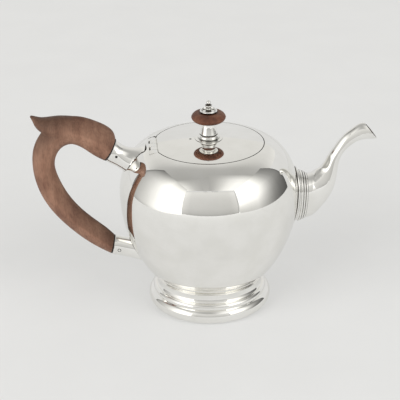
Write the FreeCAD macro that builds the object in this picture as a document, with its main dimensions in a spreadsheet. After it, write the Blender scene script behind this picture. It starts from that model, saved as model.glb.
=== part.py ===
import FreeCAD, Part
import math
import os
import re
import Sketcher
from FreeCAD import Matrix, Placement, Rotation, Vector

# A round silver teapot with a hinged flush lid, a swan-neck spout and a fruitwood handle.
# Origin: centre of the foot on the table. +Z is up, +X points to the spout. Millimetres and degrees.

SIZES = {
    # Raised body: outer arcs either side of the equator, wall, and flat centre of the base
    "body_radius": 59.0,
    "body_equator": 80.7,
    "upper_arc_radius": 42.8,
    "upper_arc_angle": 30.6,
    "shoulder_arc_radius": 25.1,
    "seam_slope": 11.3,
    "lower_arc_radius": 90.7,
    "lower_arc_angle": 32.7,
    "base_arc_radius": 47.5,
    "base_flat_radius": 12.0,
    "body_wall": 1.0,
    # Moulded foot, from the table up: rest, half-round roll, bead and hollow neck
    "foot_inner_radius": 32.0,
    "foot_rest_radius": 35.8,
    "foot_crease_radius": 38.0,
    "foot_crease_height": 10.4,
    "foot_roll_swell": 4.3,
    "foot_bead_radius": 35.5,
    "foot_bead_height": 13.9,
    "foot_bead_swell": 1.15,
    "foot_neck_radius": 36.9,
    "foot_neck_dip": 1.87,
    "foot_top_margin": 3.0,
    # Ring inside the mouth that carries the lid
    "seat_margin": 0.87,
    "seat_flange": 2.25,
    "seat_depth": 2.2,
    "seat_gap": 0.05,
    # Lid and its bezel
    "lid_gap": 0.3,
    "lid_rise": 3.0,
    "lid_thickness": 1.2,
    "lid_rim_thickness": 1.4,
    "lid_edge_bevel": 0.85,
    "lid_boss_radius": 4.6,
    "bezel_gap": 0.5,
    "bezel_wall": 0.8,
    "bezel_depth": 3.0,
    "vent_radius": 0.8,
    "vent_offset": 11.9,
    # Sunk hinge at the handle side of the lid
    "hinge_depth": 2.75,
    "hinge_length": 26.8,
    "knuckle_count": 5,
    "knuckle_radius": 2.7,
    "knuckle_clearance": 0.3,
    "knuckle_gap": 0.15,
    "chord_gap": 0.25,
    "web_height": 2.2,
    "trough_wall": 0.8,
    "trough_lip": 2.6,
    "hinge_pin_radius": 0.8,
    "hinge_pin_clearance": 0.05,
    "hinge_pin_press": 0.01,
    # Finial, from the lid up: stem, wooden disc, dished plate and button, all on one rod
    "stem_foot_radius": 8.9,
    "stem_foot_edge": 0.4,
    "stem_foot_dip": 0.2,
    "stem_bulge_radius": 6.6,
    "stem_bulge_height": 0.45,
    "stem_bulge_swell": 0.6,
    "stem_groove_radius": 5.0,
    "stem_groove_height": 2.2,
    "stem_vase_radius": 5.5,
    "stem_vase_height": 3.0,
    "stem_vase_dip": 0.2,
    "stem_neck_radius": 4.0,
    "stem_neck_height": 7.8,
    "stem_neck_dip": 0.6,
    "stem_cup_radius": 6.9,
    "stem_cup_edge": 0.4,
    "stem_height": 11.1,
    "disc_radius": 11.2,
    "disc_thickness": 6.8,
    "disc_flat_radius": 7.0,
    "disc_edge_swell": 0.95,
    "plate_radius": 5.7,
    "plate_thickness": 0.7,
    "plate_dish": 0.9,
    "button_base_radius": 3.2,
    "button_base_dip": 0.4,
    "button_neck_radius": 1.9,
    "button_neck_height": 2.0,
    "button_neck_dip": 0.2,
    "button_ring_radius": 2.3,
    "button_ring_height": 3.7,
    "button_waist_radius": 1.0,
    "button_waist_height": 4.8,
    "button_ball_radius": 1.5,
    "rod_radius": 1.0,
    "rod_clearance": 0.02,
    "rod_grip": 2.6,
    "rod_end": 0.8,
    "washer_radius": 4.0,
    "washer_thickness": 0.6,
    "nut_radius": 3.0,
    "nut_thickness": 2.0,
    # Handle sockets: centre of the mouth beyond the body's radius and above or below its equator
    "upper_socket_reach": 4.1,
    "upper_socket_rise": 30.1,
    "upper_socket_tilt": 26.5,
    "upper_socket_radius": 7.4,
    "upper_socket_straight": 3.0,
    "upper_socket_flare": 9.9,
    "upper_socket_length": 18.0,
    "upper_socket_dip": 1.4,
    "upper_pin_set": 3.2,
    "lower_socket_reach": 5.6,
    "lower_socket_drop": 38.9,
    "lower_socket_tilt": 11.8,
    "lower_socket_radius": 5.75,
    "lower_socket_straight": 3.0,
    "lower_socket_flare": 7.4,
    "lower_socket_length": 24.0,
    "lower_socket_dip": 0.45,
    "lower_pin_set": 4.0,
    "tenon_radius": 4.4,
    "tenon_length": 8.6,
    "tenon_clearance": 0.05,
    "tenon_end_gap": 0.4,
    "handle_pin_radius": 0.8,
    "handle_pin_clearance": 0.02,
    # Wooden handle where it meets the sockets
    "handle_top_offset": 0.5,
    "handle_top_depth": 16.6,
    "handle_top_width": 15.8,
    "handle_end_offset": 1.5,
    "handle_end_depth": 13.6,
    "handle_end_width": 12.8,
    # Spout collar, strainer and spout wall
    "collar_length": 6.0,
    "flange_height": 20.4,
    "flange_thickness": 1.2,
    "reed_count": 3,
    "reed_first_height": 17.7,
    "reed_last_height": 16.1,
    "reed_length": 1.5,
    "reed_swell": 0.5,
    "spout_wall": 1.0,
    "strainer_radius": 1.2,
    "strainer_pitch": 4.8,
}

# Stations round the wooden handle and along its thumb spur, and along the spout: distance beyond the body's
# greatest radius, height above its equator, depth in the plane of symmetry and width across it, and for the
# spout also how far the station leans back
HANDLE_STATIONS = {
    "shoulder": (8.6, 35.0, 20.2, 15.4),
    "arch": (18.0, 41.8, 19.0, 14.8),
    "crown": (29.0, 45.4, 18.2, 14.6),
    "turn": (41.7, 39.8, 16.6, 14.4),
    "bend": (47.0, 31.3, 15.4, 14.0),
    "back": (48.4, 23.5, 14.4, 14.0),
    "grip": (46.5, 9.8, 15.6, 14.0),
    "waist": (39.3, -5.7, 16.2, 14.0),
    "heel": (28.2, -19.2, 15.9, 13.8),
    "tail": (17.8, -28.5, 15.8, 13.4),
}
SPUR_STATIONS = {
    "root": (33.0, 46.0, 9.0, 8.0),
    "rise": (37.0, 47.3, 14.2, 11.2),
    "middle": (45.0, 48.7, 11.4, 10.2),
    "taper": (50.0, 50.8, 8.4, 8.0),
    "point": (53.2, 54.0, 4.2, 4.6),
    "tip": (55.0, 56.0, 1.3, 1.7),
}
SPOUT_STATIONS = {
    "root": (6.0, -7.2, 31.3, 21.6, 0.0),
    "flare": (8.9, -6.3, 30.6, 21.2, 2.5),
    "swell": (13.2, -2.9, 27.0, 19.2, 10.0),
    "belly": (19.35, 5.2, 18.7, 15.0, 28.6),
    "throat": (21.95, 12.8, 13.0, 12.4, 38.3),
    "neck": (23.6, 19.35, 9.2, 10.4, 48.7),
    "rise": (27.65, 26.8, 7.9, 9.5, 49.2),
    "bow": (32.3, 32.0, 8.9, 9.2, 38.4),
    "crest": (36.95, 35.3, 9.6, 9.4, 29.0),
    "beak": (41.75, 37.3, 11.8, 9.8, 27.0),
    "lip": (47.45, 37.75, 14.0, 10.4, 38.4),
}
STATION_SIZES = ("reach", "rise", "depth", "width", "lean")
STATIONS = {"handle": HANDLE_STATIONS, "spur": SPUR_STATIONS, "spout": SPOUT_STATIONS}
for piece_name, rows in STATIONS.items():
    for station_name, numbers in rows.items():
        for size_name, number in zip(STATION_SIZES, numbers):
            SIZES[f"{piece_name}_{station_name}_{size_name}"] = number

ALIASES = re.compile(r"\b(" + "|".join(sorted(SIZES, key=len, reverse=True)) + r")\b")

# Places worked out from the driving sizes, written as formulas of them
UPPER_CENTRE_R = "(body_radius - upper_arc_radius)"
SHOULDER_CENTRE_R = f"({UPPER_CENTRE_R} + (upper_arc_radius - shoulder_arc_radius) * cos(upper_arc_angle))"
SHOULDER_CENTRE_Z = "(body_equator + (upper_arc_radius - shoulder_arc_radius) * sin(upper_arc_angle))"
LOWER_CENTRE_R = "(body_radius - lower_arc_radius)"
BASE_CENTRE_R = f"({LOWER_CENTRE_R} + (lower_arc_radius - base_arc_radius) * cos(lower_arc_angle))"
BASE_CENTRE_Z = "(body_equator - (lower_arc_radius - base_arc_radius) * sin(lower_arc_angle))"
SEAM_R = f"({SHOULDER_CENTRE_R} + shoulder_arc_radius * sin(seam_slope))"
SEAM_Z = f"({SHOULDER_CENTRE_Z} + shoulder_arc_radius * cos(seam_slope))"
LID_R = f"({SEAM_R} - lid_gap)"
LID_UNDER_Z = f"({SEAM_Z} - lid_rim_thickness)"
LID_TOP_Z = f"({SEAM_Z} + lid_rise)"
LID_DOME_R = f"((({LID_R})^2 + lid_rise^2) / (2 * lid_rise))"
HINGE_CHORD = f"sqrt({LID_R}^2 - (hinge_length / 2)^2)"
SEAT_INNER_R = f"({HINGE_CHORD} - seat_margin)"
SEAT_OUTER_R = f"({SEAM_R} + seat_flange)"
BEZEL_R = f"({SEAT_INNER_R} - bezel_gap)"
HINGE_X = f"({HINGE_CHORD} + chord_gap + knuckle_radius)"
HINGE_Z = f"({SEAM_Z} - hinge_depth)"
STEM_TOP_Z = f"({LID_TOP_Z} + stem_height)"
DISC_TOP_Z = f"({STEM_TOP_Z} + disc_thickness)"
PLATE_TOP_Z = f"({DISC_TOP_Z} + plate_thickness)"
UNDER_LID_Z = f"({LID_TOP_Z} - lid_thickness)"
ROD_HOLE = "(rod_radius + rod_clearance)"
SPOUT_Z = "(body_equator + spout_root_rise)"
COLLAR_X = "(body_radius + collar_length)"

doc = FreeCAD.newDocument("silver_teapot")
sheet = doc.addObject("Spreadsheet::Sheet", "Sizes")
for row, (alias, number) in enumerate(SIZES.items(), start=1):
    sheet.set(f"A{row}", alias)
    sheet.set(f"B{row}", str(number))
    sheet.setAlias(f"B{row}", alias)
doc.recompute()


def bind(text):
    """The expression with each size's name pointing at its cell."""
    return ALIASES.sub(r"Sizes.\1", text)


def value(text):
    return float(sheet.evalExpression(bind(text)))


def drive(thing, **expressions):
    """Binds properties of an object to expressions; a double underscore in a name stands for a dot."""
    for name, text in expressions.items():
        thing.setExpression(name.replace("__", "."), bind(text))
    return thing


def place(thing, x="0", y="0", z="0", turn="0", about=Vector(0, 1, 0)):
    """Sets an object at a place, turned about an axis, and keeps it tied to the sizes."""
    thing.Placement = Placement(Vector(value(x), value(y), value(z)), Rotation(about, value(turn)))
    drive(thing, Placement__Base__x=x, Placement__Base__y=y, Placement__Base__z=z)
    if turn != "0":
        drive(thing, Placement__Rotation__Angle=turn)
    return thing


# Turned pieces: a closed outline of (radius, height) corners, drawn anticlockwise and spun about Z.
# A corner may add how the side to the next corner bends: ("round" or "hollow", radius) for an arc of that
# radius, ("swell" or "dip", depth) for an arc that stands out of the straight side, or into it, by that depth.

def bend_depth(half_chord, bend):
    kind, text = bend
    amount = value(text)
    if kind in ("round", "hollow"):
        amount = amount - math.sqrt(amount ** 2 - half_chord ** 2)
    return amount if kind in ("round", "swell") else -amount


def bend_radius(first, second, bend):
    kind, text = bend
    if kind in ("round", "hollow"):
        return text
    half_squared = f"((({second[0]}) - ({first[0]}))^2 + (({second[1]}) - ({first[1]}))^2) / 4"
    return f"({half_squared} + ({text})^2) / (2 * ({text}))"


def bent_side(start, end, bend):
    """The arc from start to end, and whether it runs anticlockwise."""
    chord = end - start
    half_chord = chord.Length / 2
    depth = bend_depth(half_chord, bend)
    radius = (half_chord ** 2 + depth ** 2) / (2 * abs(depth))
    outward = Vector(chord.y, -chord.x, 0).normalize()
    centre = (start + end) / 2 + outward * (depth - math.copysign(radius, depth))
    angles = [math.atan2(point.y - centre.y, point.x - centre.x) for point in (start, end)]
    anticlockwise = depth > 0
    if not anticlockwise:
        angles.reverse()
    if angles[1] < angles[0]:
        angles[1] += 2 * math.pi
    circle = Part.Circle(centre, Vector(0, 0, 1), radius)
    return Part.ArcOfCircle(circle, *angles), anticlockwise


def origin_plane(body, role):
    return next(item for item in body.Origin.OriginFeatures if item.Role == role)


def outline(body, name, corners):
    sketch = body.newObject("Sketcher::SketchObject", name)
    sketch.AttachmentSupport = [(origin_plane(body, "XZ_Plane"), "")]
    sketch.MapMode = "FlatFace"
    points = [Vector(value(corner[0]), value(corner[1]), 0) for corner in corners]
    first_points = []
    last_points = []
    for index, corner in enumerate(corners):
        start = points[index]
        end = points[(index + 1) % len(points)]
        if len(corner) == 2:
            sketch.addGeometry(Part.LineSegment(start, end), False)
            forward = True
        else:
            arc, forward = bent_side(start, end, corner[2])
            sketch.addGeometry(arc, False)
        first_points.append(1 if forward else 2)
        last_points.append(2 if forward else 1)
    for index, corner in enumerate(corners):
        following = (index + 1) % len(corners)
        sketch.addConstraint(
            Sketcher.Constraint("Coincident", index, last_points[index], following, first_points[following])
        )
        for axis, direction, text in ((-2, "DistanceX", corner[0]), (-1, "DistanceY", corner[1])):
            if text == "0":
                sketch.addConstraint(Sketcher.Constraint("PointOnObject", index, first_points[index], axis))
            else:
                fixed = Sketcher.Constraint(direction, -1, 1, index, first_points[index], value(text))
                sketch.setExpression(f"Constraints[{sketch.addConstraint(fixed)}]", bind(text))
        if len(corner) == 3:
            radius = bend_radius(corner, corners[following], corner[2])
            fixed = Sketcher.Constraint("Radius", index, value(radius))
            sketch.setExpression(f"Constraints[{sketch.addConstraint(fixed)}]", bind(radius))
    return sketch


def turned(label, corners):
    body = doc.addObject("PartDesign::Body", label)
    body.Label = label
    sketch = outline(body, f"{label}_outline", corners)
    spin = body.newObject("PartDesign::Revolution", f"{label}_turning")
    spin.Profile = sketch
    spin.ReferenceAxis = (sketch, ["V_Axis"])
    spin.Angle = 360
    return body


def rod(label, radius, length, **where):
    """A plain cylinder along its own Z."""
    piece = doc.addObject("Part::Cylinder", label)
    drive(piece, Radius=radius, Height=length)
    return place(piece, **where)


def cross_rod(label, radius, length, x, z, y="0"):
    """A plain cylinder along Y, centred on y."""
    return rod(label, radius, length, x=x, y=f"{y} + ({length}) / 2", z=z, turn="90", about=Vector(1, 0, 0))


def block(label, x, y, z, length, width, height):
    piece = doc.addObject("Part::Box", label)
    drive(piece, Length=length, Width=width, Height=height)
    return place(piece, x=x, y=y, z=z)


def boolean(kind, label, base, tool):
    result = doc.addObject(kind, label)
    result.Base = base
    result.Tool = tool
    result.Label = label
    return result


def cut(label, base, tool):
    return boolean("Part::Cut", label, base, tool)


def common(label, base, tool):
    return boolean("Part::Common", label, base, tool)


def joined(label, things):
    result = doc.addObject("Part::MultiFuse", label)
    result.Shapes = things
    result.Label = label
    return result


def grouped(label, things):
    result = doc.addObject("Part::Compound", label)
    result.Links = things
    result.Label = label
    return result


def squashed(label, base, factor, **where):
    """The piece narrowed across the plane of symmetry, then set in place."""
    result = doc.addObject("Part::Scale", label)
    result.Base = base
    result.Uniform = False
    drive(result, YScale=factor)
    return place(result, **where)


# Ovals along a curved centre line in the plane of symmetry

def station(piece, name, side):
    """Centre, depth and width of a station; side is +1 towards the spout and -1 towards the handle."""
    start = f"{piece}_{name}"
    x = side * value(f"body_radius + {start}_reach")
    z = value(f"body_equator + {start}_rise")
    return Vector(x, 0, z), value(f"{start}_depth"), value(f"{start}_width")


def oval(centre, along, depth, width):
    """An oval wire square to a direction in the plane of symmetry."""
    forward = Vector(along).normalize()
    across = Vector(-forward.z, 0, forward.x)
    deep = across * (depth / 2)
    half_width = width / 2
    shape = Part.Circle(Vector(), Vector(0, 0, 1), 1).toShape()
    matrix = Matrix(
        deep.x, 0, forward.x, centre.x,
        0, half_width, 0, centre.y,
        deep.z, 0, forward.z, centre.z,
        0, 0, 0, 1,
    )
    return Part.Wire([shape.transformGeometry(matrix)])


def along_line(sections, start_along, end_along):
    """Directions of sections: the ends' own, and between them square to the line through the neighbours."""
    centres = [section[0] for section in sections]
    between = [after - before for before, after in zip(centres, centres[2:])]
    return [start_along] + between + [end_along]


def ovals(sections, directions, inset=0):
    """Wires of (centre, depth, width) sections, set in by a distance."""
    wires = []
    for (centre, depth, width), along in zip(sections, directions):
        wires.append(oval(centre, along, depth - 2 * inset, width - 2 * inset))
    return wires


def lofted(sections, directions):
    return Part.makeLoft(ovals(sections, directions), True, False)


def lofted_tube(sections, directions, wall):
    """A loft with a wall, open at both ends."""
    outer_wires = ovals(sections, directions)
    inner_wires = ovals(sections, directions, inset=wall)
    faces = Part.makeLoft(outer_wires, False, False).Faces
    faces += [face.reversed() for face in Part.makeLoft(inner_wires, False, False).Faces]
    for index in (0, -1):
        faces.append(Part.Face([outer_wires[index], inner_wires[index]]))
    shell = Part.makeShell(faces)
    shell.sewShape()
    tube = Part.makeSolid(shell)
    tube.fix(0.001, 0.001, 0.001)
    return tube


def solid(label, shape):
    piece = doc.addObject("Part::Feature", label)
    piece.Label = label
    piece.Shape = shape
    return piece


# Body

def pot_side(inset):
    """Corners of the pot's turned surface, set in by a distance, from the base up to the shoulder's end."""
    lower = f"(lower_arc_radius - ({inset}))"
    base = f"(base_arc_radius - ({inset}))"
    upper = f"(upper_arc_radius - ({inset}))"
    flat_z = f"({BASE_CENTRE_Z} - sqrt({base}^2 - (base_flat_radius - {BASE_CENTRE_R})^2))"
    return [
        ("0", flat_z),
        ("base_flat_radius", flat_z, ("round", base)),
        (
            f"{LOWER_CENTRE_R} + {lower} * cos(lower_arc_angle)",
            f"body_equator - {lower} * sin(lower_arc_angle)",
            ("round", lower),
        ),
        (f"body_radius - ({inset})", "body_equator", ("round", upper)),
        (
            f"{UPPER_CENTRE_R} + {upper} * cos(upper_arc_angle)",
            f"body_equator + {upper} * sin(upper_arc_angle)",
            ("round", f"(shoulder_arc_radius - ({inset}))"),
        ),
    ]


def mouth_height(inset):
    """Height of the pot's surface, set in by a distance, at the mouth's edge."""
    radius = f"(shoulder_arc_radius - ({inset}))"
    return f"({SHOULDER_CENTRE_Z} + sqrt({radius}^2 - ({SEAM_R} - {SHOULDER_CENTRE_R})^2))"


def pot_form(label, inset):
    """The pot as a solid form, used to fit the pieces that meet it."""
    top = mouth_height(inset)
    return turned(label, pot_side(inset) + [(SEAM_R, top), ("0", top)])


def inner_side():
    """The inside of the wall, from the mouth down to the base."""
    upward = pot_side("body_wall")
    corners = [(SEAM_R, mouth_height("body_wall"), ("hollow", "(shoulder_arc_radius - body_wall)"))]
    for corner, below in zip(reversed(upward), reversed(upward[:-1])):
        if len(below) == 3:
            corners.append((corner[0], corner[1], ("hollow", below[2][1])))
        else:
            corners.append((corner[0], corner[1]))
    corners.append((upward[0][0], upward[0][1]))
    return corners


def make_strainer():
    """Holes in the wall behind the spout, in staggered rows inside the spout's bore."""
    pitch = value("strainer_pitch")
    row_step = pitch * math.sqrt(3) / 2
    half_height = value("spout_root_depth / 2 - spout_wall - 2 * strainer_radius")
    half_width = value("spout_root_width / 2 - spout_wall - 2 * strainer_radius")
    rows = int(half_height // row_step)
    columns = int(half_width // pitch) + 1
    holes = []
    for row in range(-rows, rows + 1):
        for column in range(-columns, columns + 1):
            y = (column + (row % 2) / 2) * pitch
            z = row * row_step
            if (y / half_width) ** 2 + (z / half_height) ** 2 <= 1:
                across = f"{column + (row % 2) / 2} * strainer_pitch"
                up = f"{SPOUT_Z} + {row} * strainer_pitch * sqrt(3) / 2"
                label = f"strainer_hole_{len(holes) + 1}"
                holes.append(rod(label, "strainer_radius", COLLAR_X, y=across, z=up, turn="90"))
    return grouped("strainer_holes", holes)


def make_body(trough_space):
    shell = turned("body_raising", pot_side("0") + [(SEAM_R, SEAM_Z)] + inner_side())
    notched = cut("body_notched", shell, trough_space)
    return cut("body", notched, make_strainer())


# Foot and lid seat

def make_foot(form):
    neck_drop = "sqrt(base_arc_radius^2 - (foot_neck_radius - {centre})^2)".format(centre=BASE_CENTRE_R)
    neck_z = f"({BASE_CENTRE_Z} - {neck_drop})"
    blank = turned(
        "foot_blank",
        [
            ("foot_inner_radius", "0"),
            ("foot_rest_radius", "0", ("swell", "foot_roll_swell")),
            ("foot_crease_radius", "foot_crease_height", ("swell", "foot_bead_swell")),
            ("foot_bead_radius", "foot_bead_height", ("dip", "foot_neck_dip")),
            ("foot_neck_radius", neck_z),
            ("foot_neck_radius", f"{neck_z} + foot_top_margin"),
            ("foot_inner_radius", f"{neck_z} + foot_top_margin"),
        ],
    )
    return cut("foot_ring", blank, form)


def make_lid_seat(inner_form, trough_space):
    ledge = f"{LID_UNDER_Z} - seat_gap"
    blank = turned(
        "lid_seat_blank",
        [
            (SEAT_INNER_R, f"{ledge} - seat_depth"),
            (SEAT_OUTER_R, f"{ledge} - seat_depth"),
            (SEAT_OUTER_R, SEAM_Z),
            (SEAM_R, SEAM_Z),
            (SEAM_R, ledge),
            (SEAT_INNER_R, ledge),
        ],
    )
    fitted = common("lid_seat_fitted", blank, inner_form)
    return cut("lid_seat", fitted, trough_space)


# Hinge

def make_trough_space():
    outer = "knuckle_radius + trough_wall"
    length = "hinge_length + 2 * trough_wall"
    return cross_rod("trough_space", outer, length, x=f"-{HINGE_X}", z=HINGE_Z)


def make_trough(form, trough_space):
    """A gutter let into the shoulder, closed at its ends, open upwards under the lid's edge."""
    hollow = cross_rod("trough_hollow", "knuckle_radius", "hinge_length", x=f"-{HINGE_X}", z=HINGE_Z)
    gutter = cut("trough_gutter", trough_space, hollow)
    fitted = common("trough_fitted", gutter, form)
    size = "2 * (knuckle_radius + trough_wall)"
    width = "(hinge_length + 4 * trough_wall)"
    lip_x = f"-{HINGE_X} - trough_lip"
    opening = block("trough_opening", lip_x, f"-{width} / 2", HINGE_Z, size, width, size)
    return cut("hinge_trough", fitted, opening)


def knuckle_span(index):
    """Centre and length of one knuckle along Y."""
    pitch = "(hinge_length / knuckle_count)"
    return f"({index} + 0.5 - knuckle_count / 2) * {pitch}", f"({pitch} - knuckle_gap)"


def make_knuckles():
    """Odd knuckles are fixed in the trough, even ones carry the lid."""
    x = f"-{HINGE_X}"
    moving_radius = "(knuckle_radius - knuckle_clearance)"
    fixed = []
    moving = []
    for index in range(int(value("knuckle_count"))):
        middle, length = knuckle_span(index)
        name = f"knuckle_{index + 1}"
        if index % 2 == 0:
            fixed.append(cross_rod(name, "knuckle_radius", length, x=x, z=HINGE_Z, y=middle))
        else:
            tube = cross_rod(name, moving_radius, length, x=x, z=HINGE_Z, y=middle)
            reach = "knuckle_radius + chord_gap"
            height = f"{HINGE_Z} + web_height - {LID_UNDER_Z}"
            web = block(f"{name}_web", x, f"{middle} - {length} / 2", LID_UNDER_Z, reach, length, height)
            moving.append(joined(f"{name}_with_web", [tube, web]))
    fixed_bore = cross_rod(
        "fixed_knuckle_bore", "hinge_pin_radius + hinge_pin_press", "2 * hinge_length", x=x, z=HINGE_Z
    )
    moving_bore = cross_rod(
        "moving_knuckle_bore", "hinge_pin_radius + hinge_pin_clearance", "2 * hinge_length", x=x, z=HINGE_Z
    )
    body_knuckles = cut("body_knuckles", grouped("fixed_knuckles", fixed), fixed_bore)
    lid_knuckles = cut("lid_knuckles", grouped("moving_knuckles", moving), moving_bore)
    pin = cross_rod("hinge_pin", "hinge_pin_radius", "hinge_length - 2 * knuckle_gap", x=x, z=HINGE_Z)
    return body_knuckles, lid_knuckles, pin


# Lid

def make_lid():
    """Shallow dome, bevelled under its edge so that it swings clear of the mouth."""
    blank = turned(
        "lid_blank",
        [
            ("0", UNDER_LID_Z),
            ("lid_boss_radius", UNDER_LID_Z, ("hollow", LID_DOME_R)),
            (BEZEL_R, LID_UNDER_Z),
            (f"{LID_R} - lid_edge_bevel", LID_UNDER_Z),
            (LID_R, SEAM_Z, ("round", LID_DOME_R)),
            ("0", LID_TOP_Z),
        ],
    )
    height = f"2 * {LID_R}"
    behind = block("lid_chord", f"-{HINGE_CHORD} - {height}", f"-{LID_R}", LID_UNDER_Z, height, height, height)
    vent = rod("lid_vent", "vent_radius", height, x="-vent_offset", z=LID_UNDER_Z)
    rod_hole = rod("lid_rod_hole", ROD_HOLE, height, z=LID_UNDER_Z)
    return cut("lid", blank, joined("lid_cuts", [behind, vent, rod_hole]))


def make_bezel():
    bottom = f"{LID_UNDER_Z} - bezel_depth"
    inner = f"{BEZEL_R} - bezel_wall"
    blank = turned(
        "bezel_blank",
        [(inner, bottom), (BEZEL_R, bottom), (BEZEL_R, LID_UNDER_Z), (inner, LID_UNDER_Z)],
    )
    blank.Label = "lid_bezel"
    return blank


# Finial

def dome_height(radius):
    """Height of the lid's top at a radius."""
    return f"({LID_TOP_Z} - {LID_DOME_R} + sqrt({LID_DOME_R}^2 - ({radius})^2))"


def make_finial_stem():
    edge = dome_height("stem_foot_radius")
    return turned(
        "finial_stem",
        [
            (ROD_HOLE, dome_height(ROD_HOLE), ("hollow", LID_DOME_R)),
            ("stem_foot_radius", edge),
            ("stem_foot_radius", f"{edge} + stem_foot_edge", ("dip", "stem_foot_dip")),
            ("stem_bulge_radius", f"{LID_TOP_Z} + stem_bulge_height", ("swell", "stem_bulge_swell")),
            ("stem_groove_radius", f"{LID_TOP_Z} + stem_groove_height"),
            ("stem_vase_radius", f"{LID_TOP_Z} + stem_vase_height", ("dip", "stem_vase_dip")),
            ("stem_neck_radius", f"{LID_TOP_Z} + stem_neck_height", ("dip", "stem_neck_dip")),
            ("stem_cup_radius", f"{STEM_TOP_Z} - stem_cup_edge"),
            ("stem_cup_radius", STEM_TOP_Z),
            (ROD_HOLE, STEM_TOP_Z),
        ],
    )


def make_finial_disc():
    middle = f"{STEM_TOP_Z} + disc_thickness / 2"
    return turned(
        "finial_disc",
        [
            (ROD_HOLE, STEM_TOP_Z),
            ("disc_flat_radius", STEM_TOP_Z, ("swell", "disc_edge_swell")),
            ("disc_radius", middle, ("swell", "disc_edge_swell")),
            ("disc_flat_radius", DISC_TOP_Z),
            (ROD_HOLE, DISC_TOP_Z),
        ],
    )


def make_finial_plate():
    return turned(
        "finial_plate",
        [
            (ROD_HOLE, DISC_TOP_Z),
            ("button_base_radius", DISC_TOP_Z),
            ("plate_radius", f"{DISC_TOP_Z} + plate_dish"),
            ("plate_radius", f"{PLATE_TOP_Z} + plate_dish"),
            ("button_base_radius", PLATE_TOP_Z),
            (ROD_HOLE, PLATE_TOP_Z),
        ],
    )


def make_finial_button():
    """Baluster button, bored from below for the rod."""
    ring_z = f"{PLATE_TOP_Z} + button_ring_height"
    waist_z = f"{PLATE_TOP_Z} + button_waist_height"
    ball_z = f"{waist_z} + sqrt(button_ball_radius^2 - button_waist_radius^2)"
    bore_top = f"{PLATE_TOP_Z} + rod_grip"
    return turned(
        "finial_button",
        [
            (ROD_HOLE, PLATE_TOP_Z),
            ("button_base_radius", PLATE_TOP_Z, ("dip", "button_base_dip")),
            ("button_neck_radius", f"{PLATE_TOP_Z} + button_neck_height", ("dip", "button_neck_dip")),
            ("button_ring_radius", ring_z),
            ("button_waist_radius", waist_z, ("round", "button_ball_radius")),
            ("button_ball_radius", ball_z, ("round", "button_ball_radius")),
            ("0", f"{ball_z} + button_ball_radius"),
            ("0", bore_top),
            (ROD_HOLE, bore_top),
        ],
    )


def make_finial_fixings():
    """Rod through the finial, and its washer and nut under the lid."""
    washer_z = f"{UNDER_LID_Z} - washer_thickness"
    nut_z = f"{washer_z} - nut_thickness"
    bottom = f"{nut_z} - rod_end"
    top = f"{PLATE_TOP_Z} + rod_grip"
    stud = rod("finial_rod", "rod_radius", f"{top} - ({bottom})", z=bottom)
    hole = rod("finial_fixing_hole", ROD_HOLE, f"{UNDER_LID_Z} - ({bottom})", z=bottom)
    washer_disc = rod("finial_washer_disc", "washer_radius", "washer_thickness", z=washer_z)
    washer = cut("finial_washer", washer_disc, hole)
    hexagon = doc.addObject("Part::Prism", "finial_nut_hexagon")
    hexagon.Polygon = 6
    drive(hexagon, Circumradius="nut_radius", Height="nut_thickness")
    place(hexagon, z=nut_z)
    return [stud, washer, cut("finial_nut", hexagon, hole)]


# Handle and sockets

def socket_place(end):
    """Centre of a socket's mouth and the turn that points its Z into the pot."""
    rise = "upper_socket_rise" if end == "upper" else "-lower_socket_drop"
    return {
        "x": f"-(body_radius + {end}_socket_reach)",
        "z": f"body_equator + {rise}",
        "turn": f"90 + {end}_socket_tilt",
    }


def socket_inward(end):
    tilt = math.radians(value(f"{end}_socket_tilt"))
    return Vector(math.cos(tilt), 0, -math.sin(tilt))


def socket_mouth(end):
    where = socket_place(end)
    return Vector(value(where["x"]), 0, value(where["z"]))


def pin_place(end):
    where = socket_place(end)
    x = f"{where['x']} + {end}_pin_set * cos({end}_socket_tilt)"
    z = f"{where['z']} - {end}_pin_set * sin({end}_socket_tilt)"
    return x, z


def make_socket(end, form):
    depth = "tenon_length + tenon_end_gap"
    bore = "tenon_radius + tenon_clearance"
    tube = f"{end}_socket_radius"
    flare = f"{end}_socket_flare"
    length = f"{end}_socket_length"
    blank = turned(
        f"{end}_socket_blank",
        [
            (bore, "0"),
            (tube, "0"),
            (tube, f"{end}_socket_straight", ("dip", f"{end}_socket_dip")),
            (flare, length),
            ("0", length),
            ("0", depth),
            (bore, depth),
        ],
    )
    place(blank, **socket_place(end))
    fitted = cut(f"{end}_socket_fitted", blank, form)
    x, z = pin_place(end)
    hole = cross_rod(
        f"{end}_socket_pin_hole", "handle_pin_radius + handle_pin_clearance", f"4 * {tube}", x=x, z=z
    )
    return cut(f"{end}_socket", fitted, hole)


def make_handle_pin(end):
    x, z = pin_place(end)
    return cross_rod(f"{end}_handle_pin", "handle_pin_radius", f"2 * {end}_socket_radius", x=x, z=z)


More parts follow.
